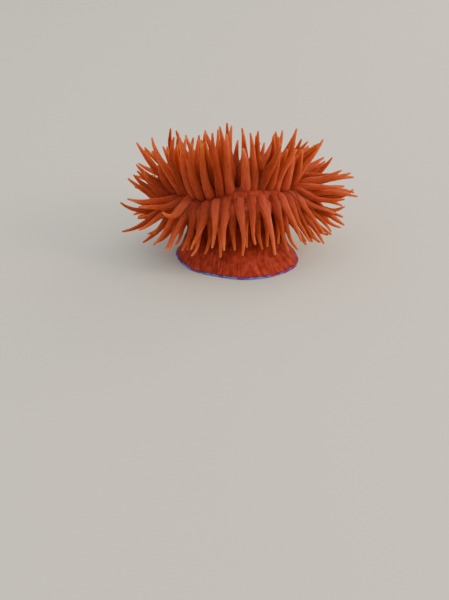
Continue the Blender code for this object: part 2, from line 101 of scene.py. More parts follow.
# Crown, mouth disc and lips, as in the solids. The crown's rim rises in a wave at the front right
CROWN_BOTTOM = COLLAR_TOP + GAP
CROWN_THICKNESS = 3.3 * MM
CROWN_TOP = CROWN_BOTTOM + CROWN_THICKNESS
RIM_CENTRE_RADIUS = 14.0 * MM
CROWN_INNER_RADIUS = 6.6 * MM
RIM_WAVE = 2.3 * MM
RIM_WAVE_AT = math.radians(14.0)
RIM_WAVE_SPAN = math.radians(55.0)
LIP_RADII = (3.1 * MM, 2.3 * MM)
LIP_HEIGHT = 1.5 * MM
SLIT_RADII = (1.9 * MM, 0.55 * MM)
THROAT_DEPTH = 1.8 * MM

# The skin's rows of points, from the middle of the underside up and over to the throat's floor. The
# margin's outline has heights and insets, and the collar's has rises and reaches, in millimetres
SKIN_SIDES = 288
UNDERSIDE_SHARES = (0.03, 0.12, 0.25, 0.4, 0.55, 0.7, 0.82, 0.91, 0.96)
MARGIN_OUTLINE = ((0.05, 0.3), (0.2, 0.14), (0.4, 0.12), (0.6, 0.2))
FLANK_START = 0.8 * MM
FLANK_ROWS = 44
FLANK_SPACING = 1.15
COLLAR_OUTLINE = (
    (-1.8, 0.05), (-1.4, 0.16), (-1.0, 0.22), (-0.6, 0.14), (-0.3, -0.12), (-0.1, -0.5),
    (0.05, -1.0), (0.2, -1.3), (0.32, -1.1),
)
RIM_ROWS = 12
CROWN_ROWS = 14
DISC_ROWS = 16
# The lips' outline, as shares of the way out from the slit and of their height
LIP_OUTLINE = (
    (1.05, 0.25), (1.02, 0.5), (0.95, 0.75), (0.84, 0.92), (0.7, 1.0), (0.52, 0.98),
    (0.34, 0.86), (0.18, 0.6), (0.08, 0.25), (0.03, -0.1), (0.0, -0.5), (0.0, -0.9),
)
THROAT_SHARES = (0.7, 0.35)
# From where to where each part runs on the zone value that the skin's colours follow
ZONES = {
    "underside": (0.0, 0.06),
    "margin": (0.06, 0.11),
    "flank": (0.1, 0.5),
    "collar": (0.5, 0.6),
    "rim": (0.6, 0.7),
    "crown": (0.7, 0.8),
    "disc": (0.8, 0.9),
    "lips": (0.9, 0.98),
    "throat": (0.99, 0.99),
}

# The skin's relief. A span has its start, its end and its fade: the scallops' in millimetres over the
# collar's top, and the folds' in shares of the lips' height
SKIN_SEAMS = 48
SEAM_DEPTH = 0.09 * MM
SEAM_POWER = 4
CREASE_DEPTH = 0.07 * MM
CREASE_LENGTH = 1.4 * MM
CREASE_FLATNESS = 3.0
WRINKLES_FROM = 1.2 * MM
WRINKLES_FADE = 2.0 * MM
MARGIN_RIPPLE = 0.14 * MM
RIPPLE_WAVES = 9.0
FINE_RIPPLE = 0.6
FINE_RIPPLE_WAVES = 2.7
SCALLOP_DEPTH = 0.08 * MM
SCALLOP_SPAN = (-1.8, 0.0, 0.6)
RIM_SWELL = 2.4 * MM
DISC_SEAMS = 24
DISC_SINK = 0.35 * MM
DISC_SWELL = 0.35 * MM
FURROW_DEPTH = 0.09 * MM
FURROW_FADE = 0.3
LIP_FOLDS = 24
LIP_EDGE = 1.12
LIP_EDGE_LIFT = 0.05 * MM
SLIT_EDGE = 1.1
FOLD_SPAN = (0.0, 1.2, 0.5)
# How far a fold narrows the slit, draws the lips in and lowers them, as shares
SLIT_FOLD = 0.25
LIP_FOLD = 0.035
FOLD_DROP = 0.12

# What a ring of tentacles has: its group, its offsets from its sector's middle in degrees, its distance
# from the axis and drop below the crown's top, the length on the animal's back and on its front, and the
# radius at the root. Then come the rise over level in degrees at the root, at the tip on the back and at
# the tip on the front, and how long the thickness is kept, on the back and on the front
Ring = collections.namedtuple(
    "Ring",
    "group offsets radius drop length front_length thick root_rise back_rise front_rise"
    " fullness front_fullness",
)


def rings_in_mm(*rows):
    """Rings from rows of group, offsets, sizes in millimetres, rises and fullnesses."""
    return [
        Ring(group, offsets, *(size * MM for size in sizes), *rises, *fullnesses)
        for group, offsets, sizes, rises, fullnesses in rows
    ]


# The rings, from the mouth outwards
MAIN_RINGS = rings_in_mm(
    ("inner", (0.0,), (8.4, 0.25, 14.6, 16.4, 1.3), (80.0, 74.0, 86.0), (2.1, 2.2)),
    ("inner", (-7.5, 7.5), (10.8, 0.15, 15.2, 17.2, 1.28), (70.0, 58.0, 80.0), (2.1, 2.2)),
    ("inner", (-10.0, 0.0, 10.0), (13.1, 0.05, 16.6, 18.2, 1.22), (54.0, 38.0, 74.0), (2.0, 2.2)),
    ("spreading", (-11.2, -1.8, 7.6), (15.3, 0.8, 16.8, 13.8, 1.4), (28.0, 6.0, -68.0), (1.9, 1.05)),
    ("hanging", (-7.6, 1.8, 11.2), (15.6, 1.8, 14.4, 11.6, 1.3), (-8.0, -24.0, -80.0), (1.8, 1.05)),
)
# The smaller ones that fill the crown between the main rings
SMALL_RINGS = rings_in_mm(
    ("inner", (0.0, 15.0), (12.1, 0.1, 15.2, 16.6, 1.2), (62.0, 42.0, 74.0), (2.2, 2.3)),
    ("spreading", (-6.5, 2.9, 12.3), (14.5, 0.2, 16.0, 15.0, 1.3), (40.0, 18.0, 0.0), (1.9, 1.4)),
    ("hanging", (-12.3, -3.0, 6.5), (15.7, 1.2, 14.8, 11.8, 1.2), (8.0, -10.0, -78.0), (1.8, 1.2)),
)
# More that crowd the right flank, where its sine is past RIGHT_FROM
RIGHT_RINGS = rings_in_mm(
    ("spreading", (-9.0, 0.4, 9.7), (15.3, 0.9, 14.2, 13.8, 1.25), (15.0, -12.0, -46.0), (1.8, 1.3)),
    ("hanging", (-5.2, 4.4, 13.6), (15.8, 2.1, 13.2, 12.4, 1.2), (-14.0, -34.0, -66.0), (1.8, 1.2)),
)
RIGHT_FROM = 0.72
# A small ring leaves the front to the main ones, past these shares of hanging
SMALL_FRONTS = {"inner": 0.6, "spreading": 0.93, "hanging": 0.97}
# One short tentacle at the front left turns aside over the others, by its bearing, sway, curl and hook
LONE_RING = rings_in_mm(("spreading", (), (15.4, 0.4, 8.5, 8.5, 1.15), (12.0, 0.0, -8.0), (1.6, 1.6)))[0]
LONE_WAY = (-48.0, -42.0, 10.0, 45.0)
LONE_TONE = 0.9
Tentacle = collections.namedtuple("Tentacle", "ring bearing sway more_rise curl hook length thick tone")
TIP_RADIUS = 0.28 * MM
ROOT_DEPTH = 1.4 * MM
ROOT_FLARES = {"inner": 0.5 * MM, "spreading": 1.1 * MM, "hanging": 1.1 * MM}
FLARE_LENGTH = 9.0 * MM
ROOT_ROUND = 0.97
STEPS = 16
LENGTH_STOPS = 34
TIP_TURNS = (20.0, 40.0, 60.0, 78.0)

# How a tentacle bends: early, then its curl sets in late, and a hook only past its start. An upright
# one curls by LEAST_LEVEL of its curl at least, and none rises past RISE_LIMIT, in degrees
BEND_POWER = 1.7
CURL_POWER = 2.2
LEAST_LEVEL = 0.8
HOOK_START = 0.7
RISE_LIMIT = 104.0
# The upright ones on the left lean out by some degrees at their roots and bend late, in a long sweep
SWEEP_POWER = 1.3
LEFT_SWEEPS = {"inner": 0.9, "spreading": 0.0, "hanging": 0.0}
LEFT_LEAN = 12.0
# Those of the front hang fully up to the bearing where the cosine is FRONT_WIDTH - FRONT_SHIFT
FRONT_SHIFT = 0.25
FRONT_WIDTH = 0.9
# How much lower the front ones leave the rim, in degrees
FRONT_DROOPS = {"inner": 0.0, "spreading": 56.0, "hanging": 56.0}
# How much slimmer the front ones are, and how much shorter those on the right, as shares
FRONT_SLIMMING = {"inner": 0.0, "spreading": 0.22, "hanging": 0.18}
RIGHT_SHORTENING = {"inner": 0.1, "spreading": 0.0, "hanging": 0.0}

# What differs from one tentacle to the next, in degrees or as shares. The golden share spreads the
# tones evenly over neighbours
BEARING_SPREAD = 0.3
SWAY_SPREAD = 11.0
RISE_SPREAD = 11.0
LENGTH_SPREADS = {"inner": 0.21, "spreading": 0.15, "hanging": 0.15}
THICK_RANGE = (0.94, 1.04)
CURL_LEFT = 40.0
CURL_RIGHT = 6.0
CURL_RANGE = (0.3, 1.5)
CURL_SPREAD = 8.0
HOOKED_SHARE = 0.14
HOOK_RANGE = (30.0, 50.0)
GOLDEN_SHARE = 0.618034
WAVE = 8.0
WAVES = 0.8
WAVE_ONSET = 4.0
LUMP_LENGTH = 2.2 * MM
LUMP_SHARE = 0.05
LUMP_TURNS = 17.0

# The narrow parting between the upright tentacles, right of the middle as seen from the front
PARTING_X = 1.5 * MM
PARTING_HALF = 0.3 * MM
PARTING_FLOOR = 19.0 * MM
PARTING_TOP = 26.0 * MM
PARTING_REACH = 3.0 * MM
PARTING_PULL = 0.3

# Easing: the rounds that bend the tentacles clear of each other, the last ones less stiffly
CLEARANCE = 0.1 * MM
LEAST_APART = 0.001 * MM
ROOT_SQUEEZE = 0.5
EASING_ROUNDS = 110
LAST_ROUNDS = 40
PAIRING_ROUNDS = 10
PAIRING_REACH = 4.5 * MM
STIFFNESS = 0.16
LAST_STIFFNESS = 0.03
REST_SHARE = 0.9
PUSH = 0.35
SOFTENINGS = 3
LOOSE_FROM = 0.5
FREE_FROM = 1.5
SETTING_IN = 4.0

# Beads in the fold under the crown, and the line along the foot's margin
BEAD_COUNT = 24
BEAD_RADIUS = 0.65 * MM
BEAD_DROP = 0.68 * MM
BEAD_SINK = 0.4
BEAD_SIZES = ((0.85, 0.85, 0.95), (1.0, 1.0, 1.15))
BEAD_TURNS = ((-0.4, -0.4, -0.4), (0.4, 0.4, 0.4))
BEAD_FINENESS = 4
BEAD_SEED = 3
LINE_STEPS = 720
LINE_SIDES = 10
LINE_RADIUS = 0.24 * MM
LINE_INSET = 0.22 * MM
LINE_HEIGHT = 0.33 * MM
# The line swells and thins along the margin, in broad waves and in finer ones
LINE_WAVES = 7.0
LINE_LEVEL = 2.0
LINE_SWELL = 0.45
FINE_SWELL = 0.4
FINE_SWELL_WAVES = 3.1

# Patterns in the flesh, by their real size. The grain is the flesh's own, of about 0.1 mm, drawn
# coarser so that it shows
TENTACLE_MOTTLE = 1.111 * MM
TENTACLE_GRAIN = 0.3846 * MM
SKIN_MOTTLE = 1.4286 * MM
SKIN_GRAIN = 0.4545 * MM
SKIN_STREAK = 0.627 * MM
SKIN_STREAK_HEIGHT = 3.205 * MM
BEAD_PATCH = 1.2 * MM
LINE_PATCH = 1.6 * MM
# A tentacle's streaks are a quarter of its radius wide, about 0.3 mm, and 1 / (1.2 * 4) of its length
# long, about 3 mm. Each tentacle's noise is taken at a place of its own
STREAK_SHARE = 0.25
STREAKS_ALONG = 1.2
STREAKS_APART = 60.0

# Colours along the zone value, along a tentacle, and through the patches of the line and beads. Each
# is a hex colour or the name of a setting
# The groove and throat colours are painted shade, in the fold under the crown and down into the mouth
SKIN_STOPS = (
    (0.0, "#9A4A3E"), (0.055, "#A03A34"), (0.085, "margin"), (0.125, "foot"), (0.24, "foot"),
    (0.34, "column"), (0.52, "column"), (0.6, "groove"), (0.64, "crown"), (0.8, "crown"),
    (0.88, "disc"), (0.92, "lip"), (0.97, "throat"),
)
# The root's darker colour is partly the flesh's own and partly painted shade, where the roots crowd together
TENTACLE_STOPS = ((0.0, "root"), (0.3, "middle"), (0.8, "upper"), (1.0, "tip"))
LINE_STOPS = ((0.36, "margin"), (0.46, "line_dark"), (0.6, "line_light"))
# The beads' blues are their own, darkened by painted shade of the fold under the crown
BEAD_STOPS = ((0.38, "bead_dark"), (0.62, "bead_light"))
# Shades that darken a colour in streaks, in spots and from one tentacle to the next. Each has how much
# it darkens, and its stops
TENTACLE_SPOTS = (0.4, ((0.3, "#C4C4C4"), (0.7, "#FFFFFF")))
TENTACLE_BANDS = (0.6, ((0.3, "#C09890"), (0.7, "#FFFFFF")))
TENTACLE_TONES = (1.0, ((0.0, "#C8B8B4"), (0.5, "#EAE0DC"), (1.0, "#FFF8F4")))
SKIN_BANDS = (0.65, ((0.3, "#9C7070"), (0.55, "#F0E0E0"), (0.75, "#FFFFFF")))
SKIN_SPOTS = (0.7, ((0.3, "#A8A0A0"), (0.65, "#FFFFFF")))
# The strength and the depth of the relief, in the grain and in ridges along the streaks
TENTACLE_PITS = (0.12, 0.06 * MM)
TENTACLE_RIDGES = (0.4, 0.12 * MM)
SKIN_PITS = (0.3, 0.06 * MM)
SKIN_RIDGES = (0.5, 0.2 * MM)

# Camera and stage, with the anemone's place in a frame of 449 by 600 pixels
SENSOR = 36.0
FRAME_HEIGHT = 600.0
FRAME_ASIDE = 11.5
FRAME_UP = 103.0
CAMERA_TARGET = Vector((0.4 * MM, 1.0 * MM, 15.9 * MM))
FLOOR_HALF = 2.0
WORLD_LEFT = 0.92
WORLD_RIGHT = 2.0
WORLD_COLOUR = "#E6E8EA"
# Each light's place, width and tint. The one at the back has a share of the key light's power
LIGHTS = (
    ("key", (0.42, -0.16, 0.27), 0.16, "#FFDDB8"),
    ("fill", (-0.40, -0.30, 0.22), 0.40, "#EAF0FF"),
    ("back", (0.30, 0.36, 0.26), 0.20, "#FFE2C0"),
)
BACK_SHARE = 0.5


def linear(code):
    """An sRGB hex colour as linear red, green, blue and alpha."""
    shares = [int(code[at:at + 2], 16) / 255.0 for at in (1, 3, 5)]
    parts = [share / 12.92 if share <= 0.04045 else ((share + 0.055) / 1.055) ** 2.4 for share in shares]
    return (*parts, 1.0)


def smooth_step(value):
    value = np.clip(value, 0.0, 1.0)
    return value * value * (3.0 - 2.0 * value)


def window(value, low, high, fade):
    """1 between two values and 0 outside them, with a soft fade on either side."""
    return smooth_step((value - low) / fade) * smooth_step((high - value) / fade)


# The body's bent axis


def tilt_share(height):
    return smooth_step((height - FOOT_TOP) / (COLUMN_TOP - FOOT_TOP))


def directions(height):
    """Right, back and up of the body's cross-section at a height."""
    back = TILT_BACK * tilt_share(height)
    side = TILT_SIDE * tilt_share(height)
    right = Vector((math.cos(side), 0.0, math.sin(side)))
    up = Vector((-math.sin(side) * math.cos(back), math.sin(back), math.cos(side) * math.cos(back)))
    return right, up.cross(right), up


@functools.lru_cache(maxsize=None)
def body_frame(height):
    """Centre, right, back and up of the cross-section at a height."""
    share = tilt_share(height)
    centre = Vector((LEAN_SIDE * share, LEAN_BACK * share, 0.0))
    for step in range(AXIS_STEPS):
        centre += directions(height * (step + 0.5) / AXIS_STEPS)[2] * (height / AXIS_STEPS)
    return centre, *directions(height)


def body_point(height, bearing, radius, lift=0.0):
    centre, right, back, up = body_frame(height)
    return centre + right * (radius * math.sin(bearing)) - back * (radius * math.cos(bearing)) + up * lift


def foot_radius(bearing):
    lobes = (size * math.cos(waves * (bearing - math.radians(at))) for waves, size, at in FOOT_LOBES)
    return FOOT_RADIUS + sum(lobes)


def flank_radius(height, bearing):
    """The column's radius, from the foot's flare over the waist to the swell under the collar."""
    share = smooth_step((height - FLARE_START) / (WAIST_HEIGHT - FLARE_START)) ** FLARE_POWER
    radius = foot_radius(bearing) * (1.0 - share) + WAIST_RADIUS * share
    swell = smooth_step((height - WAIST_HEIGHT) / (SWELL_TOP - WAIST_HEIGHT))
    return radius + (COLLAR_RADIUS - WAIST_RADIUS) * swell


def front_share(bearing):
    """How much the crown hangs over as at the front: 1 over the front, 0 at the back."""
    return smooth_step((math.cos(bearing) + FRONT_SHIFT) / FRONT_WIDTH)


def left_share(bearing):
    """1 at the left, and less towards the front and the back, down to 0 there and over the right."""
    return max(-math.sin(bearing), 0.0)


def crown_lift(bearing, radius):
    """How far the wave in the rim raises the crown's top."""
    away = (bearing - RIM_WAVE_AT + math.pi) % (2.0 * math.pi) - math.pi
    out = smooth_step((radius - CROWN_INNER_RADIUS) / (RIM_CENTRE_RADIUS - CROWN_INNER_RADIUS))
    return RIM_WAVE * smooth_step(1.0 - abs(away) / RIM_WAVE_SPAN) * out


def crown_point(bearing, radius, height):
    """A point of the crown at a height over its bottom, stretched by the wave in the rim."""
    lift = crown_lift(bearing, radius) * height / CROWN_THICKNESS
    return body_point(CROWN_BOTTOM, bearing, radius, height + lift)


# The skin


def around():
    return [2.0 * math.pi * step / SKIN_SIDES for step in range(SKIN_SIDES)]


def zone_at(part, share):
    """The zone value at a share of the way through a part of the skin."""
    low, high = ZONES[part]
    return low + (high - low) * share


def wrinkles(height, bearing):
    """How far the column's wall stands in or out: upright seams and uneven creases across them."""
    seam = -SEAM_DEPTH * (0.5 + 0.5 * math.cos(SKIN_SEAMS * bearing)) ** SEAM_POWER
    place = body_point(height, bearing, WAIST_RADIUS)
    crease = noise.noise(Vector((place.x, place.y, CREASE_FLATNESS * place.z)) / CREASE_LENGTH)
    return (seam + CREASE_DEPTH * crease) * window(height, WRINKLES_FROM, COLLAR_TOP, WRINKLES_FADE)


def underside_rows():
    """The foot's flat underside, from its middle outwards."""
    for share in UNDERSIDE_SHARES:
        ring = [body_point(0.0, b, share * foot_radius(b)) for b in around()]
        yield zone_at("underside", share), ring


def margin_ripple(bearing):
    spot = Vector((math.cos(bearing), math.sin(bearing), 0.0)) * RIPPLE_WAVES
    return MARGIN_RIPPLE * (noise.noise(spot) + FINE_RIPPLE * noise.noise(spot * FINE_RIPPLE_WAVES))


def flank_rows():
    """The foot's thin margin, and the column's wall up to the collar."""
    for height, inset in MARGIN_OUTLINE:
        ring = [body_point(height * MM, b, foot_radius(b) + margin_ripple(b) - inset * MM) for b in around()]
        yield zone_at("margin", height), ring
    for step in range(FLANK_ROWS):
        height = FLANK_START + (COLUMN_TOP - FLANK_START) * (step / (FLANK_ROWS - 1)) ** FLANK_SPACING
        ring = [body_point(height, b, flank_radius(height, b) + wrinkles(height, b)) for b in around()]
        yield zone_at("flank", height / COLUMN_TOP), ring


def collar_rows():
    """The collar's rounded fold, and the groove between it and the crown."""
    for step, (rise, out) in enumerate(COLLAR_OUTLINE):
        radius = COLLAR_RADIUS + out * MM
        height = COLLAR_TOP + rise * MM
        scallop = SCALLOP_DEPTH * window(rise, *SCALLOP_SPAN)
        ring = [body_point(height, b, radius + scallop * math.cos(BEAD_COUNT * b)) for b in around()]
        yield zone_at("collar", (step + 1) / len(COLLAR_OUTLINE)), ring


def rim_rows():
    """The crown's underside and its half-round rim, which swells where the front tentacles leave it."""
    half = 0.5 * CROWN_THICKNESS
    for step in range(1, RIM_ROWS + 1):
        turn = math.radians(-90.0 + 180.0 * step / RIM_ROWS)
        ring = []
        for b in around():
            swell = RIM_SWELL * front_share(b) * smooth_step(0.5 + 0.5 * math.sin(turn))
            radius = RIM_CENTRE_RADIUS + (half + swell) * math.cos(turn)
            ring.append(crown_point(b, radius, half + (half + 0.5 * swell) * math.sin(turn)))
        yield zone_at("rim", step / RIM_ROWS), ring


def crown_rows():
    """The crown's top, in to the edge of the mouth disc."""
    for step in range(1, CROWN_ROWS + 1):
        share = step / CROWN_ROWS
        radius = RIM_CENTRE_RADIUS + (CROWN_INNER_RADIUS - RIM_CENTRE_RADIUS) * share
        height = CROWN_THICKNESS - DISC_SINK * smooth_step(share)
        ring = []
        for b in around():
            swell = 0.5 * RIM_SWELL * front_share(b) * (1.0 - smooth_step(share))
            ring.append(crown_point(b, radius, height + swell))
        yield zone_at("crown", share), ring


def oval_point(bearing, radii, share, lift):
    centre, right, back, up = body_frame(CROWN_TOP)
    along = right * (radii[0] * share * math.sin(bearing))
    across = back * (radii[1] * share * math.cos(bearing))
    return centre + along - across + up * lift


def disc_rows():
    """The bare disc round the mouth, with a fine furrow between each two of its seams."""
    for step in range(1, DISC_ROWS + 1):
        share = step / DISC_ROWS
        depth = FURROW_DEPTH * window(share, 0.0, 1.0, FURROW_FADE)
        swell = DISC_SWELL * math.sin(math.pi * share)
        ring = []
        for b in around():
            outer = body_point(CROWN_TOP, b, CROWN_INNER_RADIUS, -DISC_SINK)
            inner = oval_point(b, LIP_RADII, LIP_EDGE, LIP_EDGE_LIFT)
            furrow = -depth * (0.5 + 0.5 * math.cos(DISC_SEAMS * b)) ** 2
            ring.append(outer.lerp(inner, share) + body_frame(CROWN_TOP)[3] * (furrow + swell))
        yield zone_at("disc", share), ring


def mouth_rows():
    """The folded lips, and the throat down to its floor."""
    for step, (out, rise) in enumerate(LIP_OUTLINE):
        depth = window(rise, *FOLD_SPAN)
        ring = []
        for b in around():
            fold = 0.5 + 0.5 * math.cos(LIP_FOLDS * b)
            slit = oval_point(b, SLIT_RADII, SLIT_EDGE - SLIT_FOLD * fold * depth, 0.0)
            lip = oval_point(b, LIP_RADII, 1.0 - LIP_FOLD * fold * depth, 0.0)
            lift = LIP_HEIGHT * (rise - FOLD_DROP * fold * depth)
            ring.append(slit.lerp(lip, out) + body_frame(CROWN_TOP)[3] * lift)
        yield zone_at("lips", (step + 1) / len(LIP_OUTLINE)), ring
    for share in THROAT_SHARES:
        ring = [oval_point(b, SLIT_RADII, share, -THROAT_DEPTH) for b in around()]
        yield zone_at("throat", share), ring


def build_skin(look):
    """One closed skin over foot, column, collar, crown and mouth, so that no seam shows."""
    parts = (underside_rows, flank_rows, collar_rows, rim_rows, crown_rows, disc_rows, mouth_rows)
    mesh = bmesh.new()
    zone = mesh.verts.layers.float.new("zone")
    rings = []
    for value, ring in (row for part in parts for row in part()):
        made = [mesh.verts.new(point) for point in ring]
        for vert in made:
            vert[zone] = value
        rings.append(made)
    for low, high in zip(rings, rings[1:]):
        for step in range(SKIN_SIDES):
            after = (step + 1) % SKIN_SIDES
            mesh.faces.new((low[step], low[after], high[after], high[step]))
    mesh.faces.new(rings[0][::-1])
    mesh.faces.new(rings[-1])
    return finished("body_skin", mesh, look)


def added(name, data):
    """An object with this data, in the scene."""
    made = bpy.data.objects.new(name, data)
    bpy.context.scene.collection.objects.link(made)
    return made


def finished(name, mesh, look):
    """The object that a bmesh becomes, smooth, facing out and in one material."""
    bmesh.ops.recalc_face_normals(mesh, faces=mesh.faces)
    data = bpy.data.meshes.new(name)
    mesh.to_mesh(data)
    mesh.free()
    data.shade_smooth()
    data.materials.append(look)
    return added(name, data)


# The tentacles' centrelines


def has_room(rings, ring, bearing):
    """Whether a ring stands at a bearing: small ones keep off the front, right ones to the right."""
    if rings is SMALL_RINGS:
        return front_share(bearing) <= SMALL_FRONTS[ring.group]
    return rings is not RIGHT_RINGS or math.sin(bearing) >= RIGHT_FROM


def planted(ring, bearing, tone, dice):
    """A tentacle of a ring at its bearing, with what sets it apart."""
    front = front_share(bearing)
    right = max(math.sin(bearing), 0.0)
    curl = CURL_RIGHT * right + CURL_LEFT * left_share(bearing)
    hooked = dice.random() < HOOKED_SHARE
    length = ring.length + (ring.front_length - ring.length) * front
    length *= 1.0 - RIGHT_SHORTENING[ring.group] * right
    slimness = 1.0 - FRONT_SLIMMING[ring.group] * front
    spread = LENGTH_SPREADS[ring.group]
    return Tentacle(
        ring=ring,
        bearing=bearing,
        sway=math.radians(dice.gauss(0.0, SWAY_SPREAD)),
        more_rise=dice.gauss(0.0, RISE_SPREAD),
        curl=curl * dice.uniform(*CURL_RANGE) + dice.gauss(0.0, CURL_SPREAD),
        hook=dice.uniform(*HOOK_RANGE) * hooked,
        length=length * (1.0 + dice.uniform(-spread, spread)),
        thick=ring.thick * dice.uniform(*THICK_RANGE) * slimness,
        tone=tone,
    )


def lay_out(rings, dice):
    """Every tentacle of these rings, sector by sector."""
    tentacles = []
    for sector in range(SECTORS):
        middle = 2.0 * math.pi * (sector + 0.5) / SECTORS
        for ring in rings:
            for offset in ring.offsets:
                bearing = middle + math.radians(offset + dice.uniform(-BEARING_SPREAD, BEARING_SPREAD))
                if has_room(rings, ring, bearing):
                    tone = math.modf(len(tentacles) * GOLDEN_SHARE)[0]
                    tentacles.append(planted(ring, bearing, tone, dice))
    return tentacles


def bent_share(tentacle, share):
    """How much of its bend a tentacle has made at a share of its length."""
    early = 1.0 - (1.0 - share) ** BEND_POWER
    late = share ** SWEEP_POWER
    return early + (late - early) * LEFT_SWEEPS[tentacle.ring.group] * left_share(tentacle.bearing)


def growing_way(tentacle, share):
    """The direction that a tentacle grows in at a share of its length. Tips heed the true upright."""
    ring = tentacle.ring
    front = front_share(tentacle.bearing)
    root_rise = ring.root_rise - FRONT_DROOPS[ring.group] * front
    tip_rise = ring.back_rise + (ring.front_rise - ring.back_rise) * front + tentacle.more_rise
    root_rise -= LEFT_LEAN * LEFT_SWEEPS[ring.group] * left_share(tentacle.bearing)
    bent = (tip_rise - root_rise) * bent_share(tentacle, share)
    level = max(math.cos(math.radians(min(max(tip_rise, 0.0), 90.0))), LEAST_LEVEL)
    curl = level * tentacle.curl * share ** CURL_POWER
    hook = level * tentacle.hook * smooth_step((share - HOOK_START) / (1.0 - HOOK_START))
    turn = 2.0 * math.pi * (WAVES * share + tentacle.tone)
    wave = WAVE * smooth_step(WAVE_ONSET * share)
    rise = math.radians(min(root_rise + bent + curl + hook + wave * math.cos(turn), RISE_LIMIT))
    heading = tentacle.bearing + tentacle.sway * share + math.radians(wave) * math.sin(turn)
    out = math.cos(rise)
    plumb = Vector((out * math.sin(heading), -out * math.cos(heading), math.sin(rise)))
    right, back, up = body_frame(CROWN_TOP)[1:]
    tilted = right * plumb.x + back * plumb.y + up * plumb.z
    return tilted.lerp(plumb, share).normalized()


def grow(tentacle):
    """The centreline of a tentacle, from below the crown's skin to its tip."""
    ring = tentacle.ring
    stride = (tentacle.length + ROOT_DEPTH) / STEPS
    root = crown_point(tentacle.bearing, ring.radius, CROWN_THICKNESS - ring.drop)
    points = [root - growing_way(tentacle, 0.0) * ROOT_DEPTH]
    for step in range(STEPS):
        points.append(points[-1] + growing_way(tentacle, step / (STEPS - 1)) * stride)
    return points


def thickness(tentacle, share):
    """A tentacle's radius at a share of its length, without the flare at its root."""
    ring = tentacle.ring
    fullness = ring.fullness + (ring.front_fullness - ring.fullness) * front_share(tentacle.bearing)
    return TIP_RADIUS + (tentacle.thick - TIP_RADIUS) * (1.0 - share ** fullness)


def near_pairs(lines, radii, free):
    """Pairs of points on two tentacles that may come too near, and how far apart each is to lie."""
    count, stops = radii.shape
    flat = lines.reshape(-1, 3)
    sizes = (flat ** 2).sum(axis=1)
    squares = sizes[:, None] + sizes[None, :] - 2.0 * flat @ flat.T
    owner = np.repeat(np.arange(count), stops)
    first, second = np.nonzero((squares < PAIRING_REACH ** 2) & (owner[:, None] != owner[None, :]))
    freedom = np.tile(free, count)
    freedom = np.minimum(freedom[first], freedom[second])
    together = radii.reshape(-1)[first] + radii.reshape(-1)[second]
    wanted = together * (ROOT_SQUEEZE + (1.0 - ROOT_SQUEEZE) * freedom) + CLEARANCE * freedom
    return first, second, wanted


def pushed_apart(lines, pairs, loose):
    """Each point moved off the points that are too near it, with the moves evened out along a line."""
    flat = lines.reshape(-1, 3)
    first, second, wanted = pairs
    away = flat[first] - flat[second]
    apart = np.maximum(np.linalg.norm(away, axis=1), LEAST_APART)
    share = PUSH * np.maximum(wanted / apart - 1.0, 0.0)
    moves = np.zeros_like(flat)
    np.add.at(moves, first, share[:, None] * away)
    moves = moves.reshape(lines.shape)
    for _ in range(SOFTENINGS):
        padded = np.concatenate([moves[:, :1], moves, moves[:, -1:]], axis=1)
        moves = 0.25 * padded[:, :-2] + 0.5 * moves + 0.25 * padded[:, 2:]
    return lines + moves * loose[None, :, None]


def cleared_of_body(lines, radii, free):
    """Points below the crown's top moved out past its rim, and all of them up off the foot."""
    centre, right, back, up = (np.array(part) for part in body_frame(CROWN_TOP))
    offset = lines - centre
    height = offset @ up
    across = offset - height[..., None] * up
    distance = np.linalg.norm(across, axis=2)
    height = height - crown_lift(np.arctan2(offset @ right, -offset @ back), distance)
    room = RIM_CENTRE_RADIUS + 0.5 * CROWN_THICKNESS + radii + 2.0 * CLEARANCE
    short = np.where((height < 0.0) & (distance < room), room - distance, 0.0)
    lines = lines + across / distance[..., None] * (short * free)[..., None]
    floor = np.where(free > 0.0, FOOT_TOP + radii + CLEARANCE, 0.0)
    lines[..., 2] = np.maximum(lines[..., 2], floor)
    return lines


def parted(lines, radii, free):
    """Upright tentacles near the parting drawn to the side of it that they are mostly on."""
    upper = lines[..., 2] > PARTING_FLOOR
    aside = lines[..., 0] - PARTING_X
    mean = (aside * upper).sum(axis=1) / np.maximum(upper.sum(axis=1), 1)
    side = np.where(mean < 0.0, -1.0, 1.0)[:, None]
    near = np.abs(mean)[:, None] < PARTING_REACH
    strength = np.clip((lines[..., 2] - PARTING_FLOOR) / (PARTING_TOP - PARTING_FLOOR), 0.0, 1.0)
    short = np.maximum(PARTING_HALF + radii - side * aside, 0.0) * near
    lines[..., 0] += PARTING_PULL * side * short * strength * free
    return lines


def bends(lines):
    return lines[:, :-2] + lines[:, 2:] - 2.0 * lines[:, 1:-1]


def springing_back(lines, rest, free, stiffness):
    """Each bend eased back towards the one that the tentacle grew with."""
    lines[:, 1:-1] += stiffness * (bends(lines) - REST_SHARE * rest) * free[None, 1:-1, None]
    return lines


def with_strides(lines, strides):
    """The lines with each step back at its own length, worked out from the root."""
    for step in range(1, lines.shape[1]):
        way = lines[:, step] - lines[:, step - 1]
        way *= (strides[:, step - 1] / np.linalg.norm(way, axis=1))[:, None]
        lines[:, step] = lines[:, step - 1] + way
    return lines


def lone_tentacle():
    """The short one that turns aside, which no dice change."""
    bearing, sway, curl, hook = LONE_WAY
    return Tentacle(
        ring=LONE_RING,
        bearing=math.radians(bearing),
        sway=math.radians(sway),
        more_rise=0.0,
        curl=curl,
        hook=hook,
        length=LONE_RING.length,
        thick=LONE_RING.thick,
        tone=LONE_TONE,
    )


def setting_in(start):
    """How far each point of a centreline may move: not at all up to a step, and then more and more."""
    return np.array([smooth_step((step - start) / SETTING_IN) for step in range(STEPS + 1)])


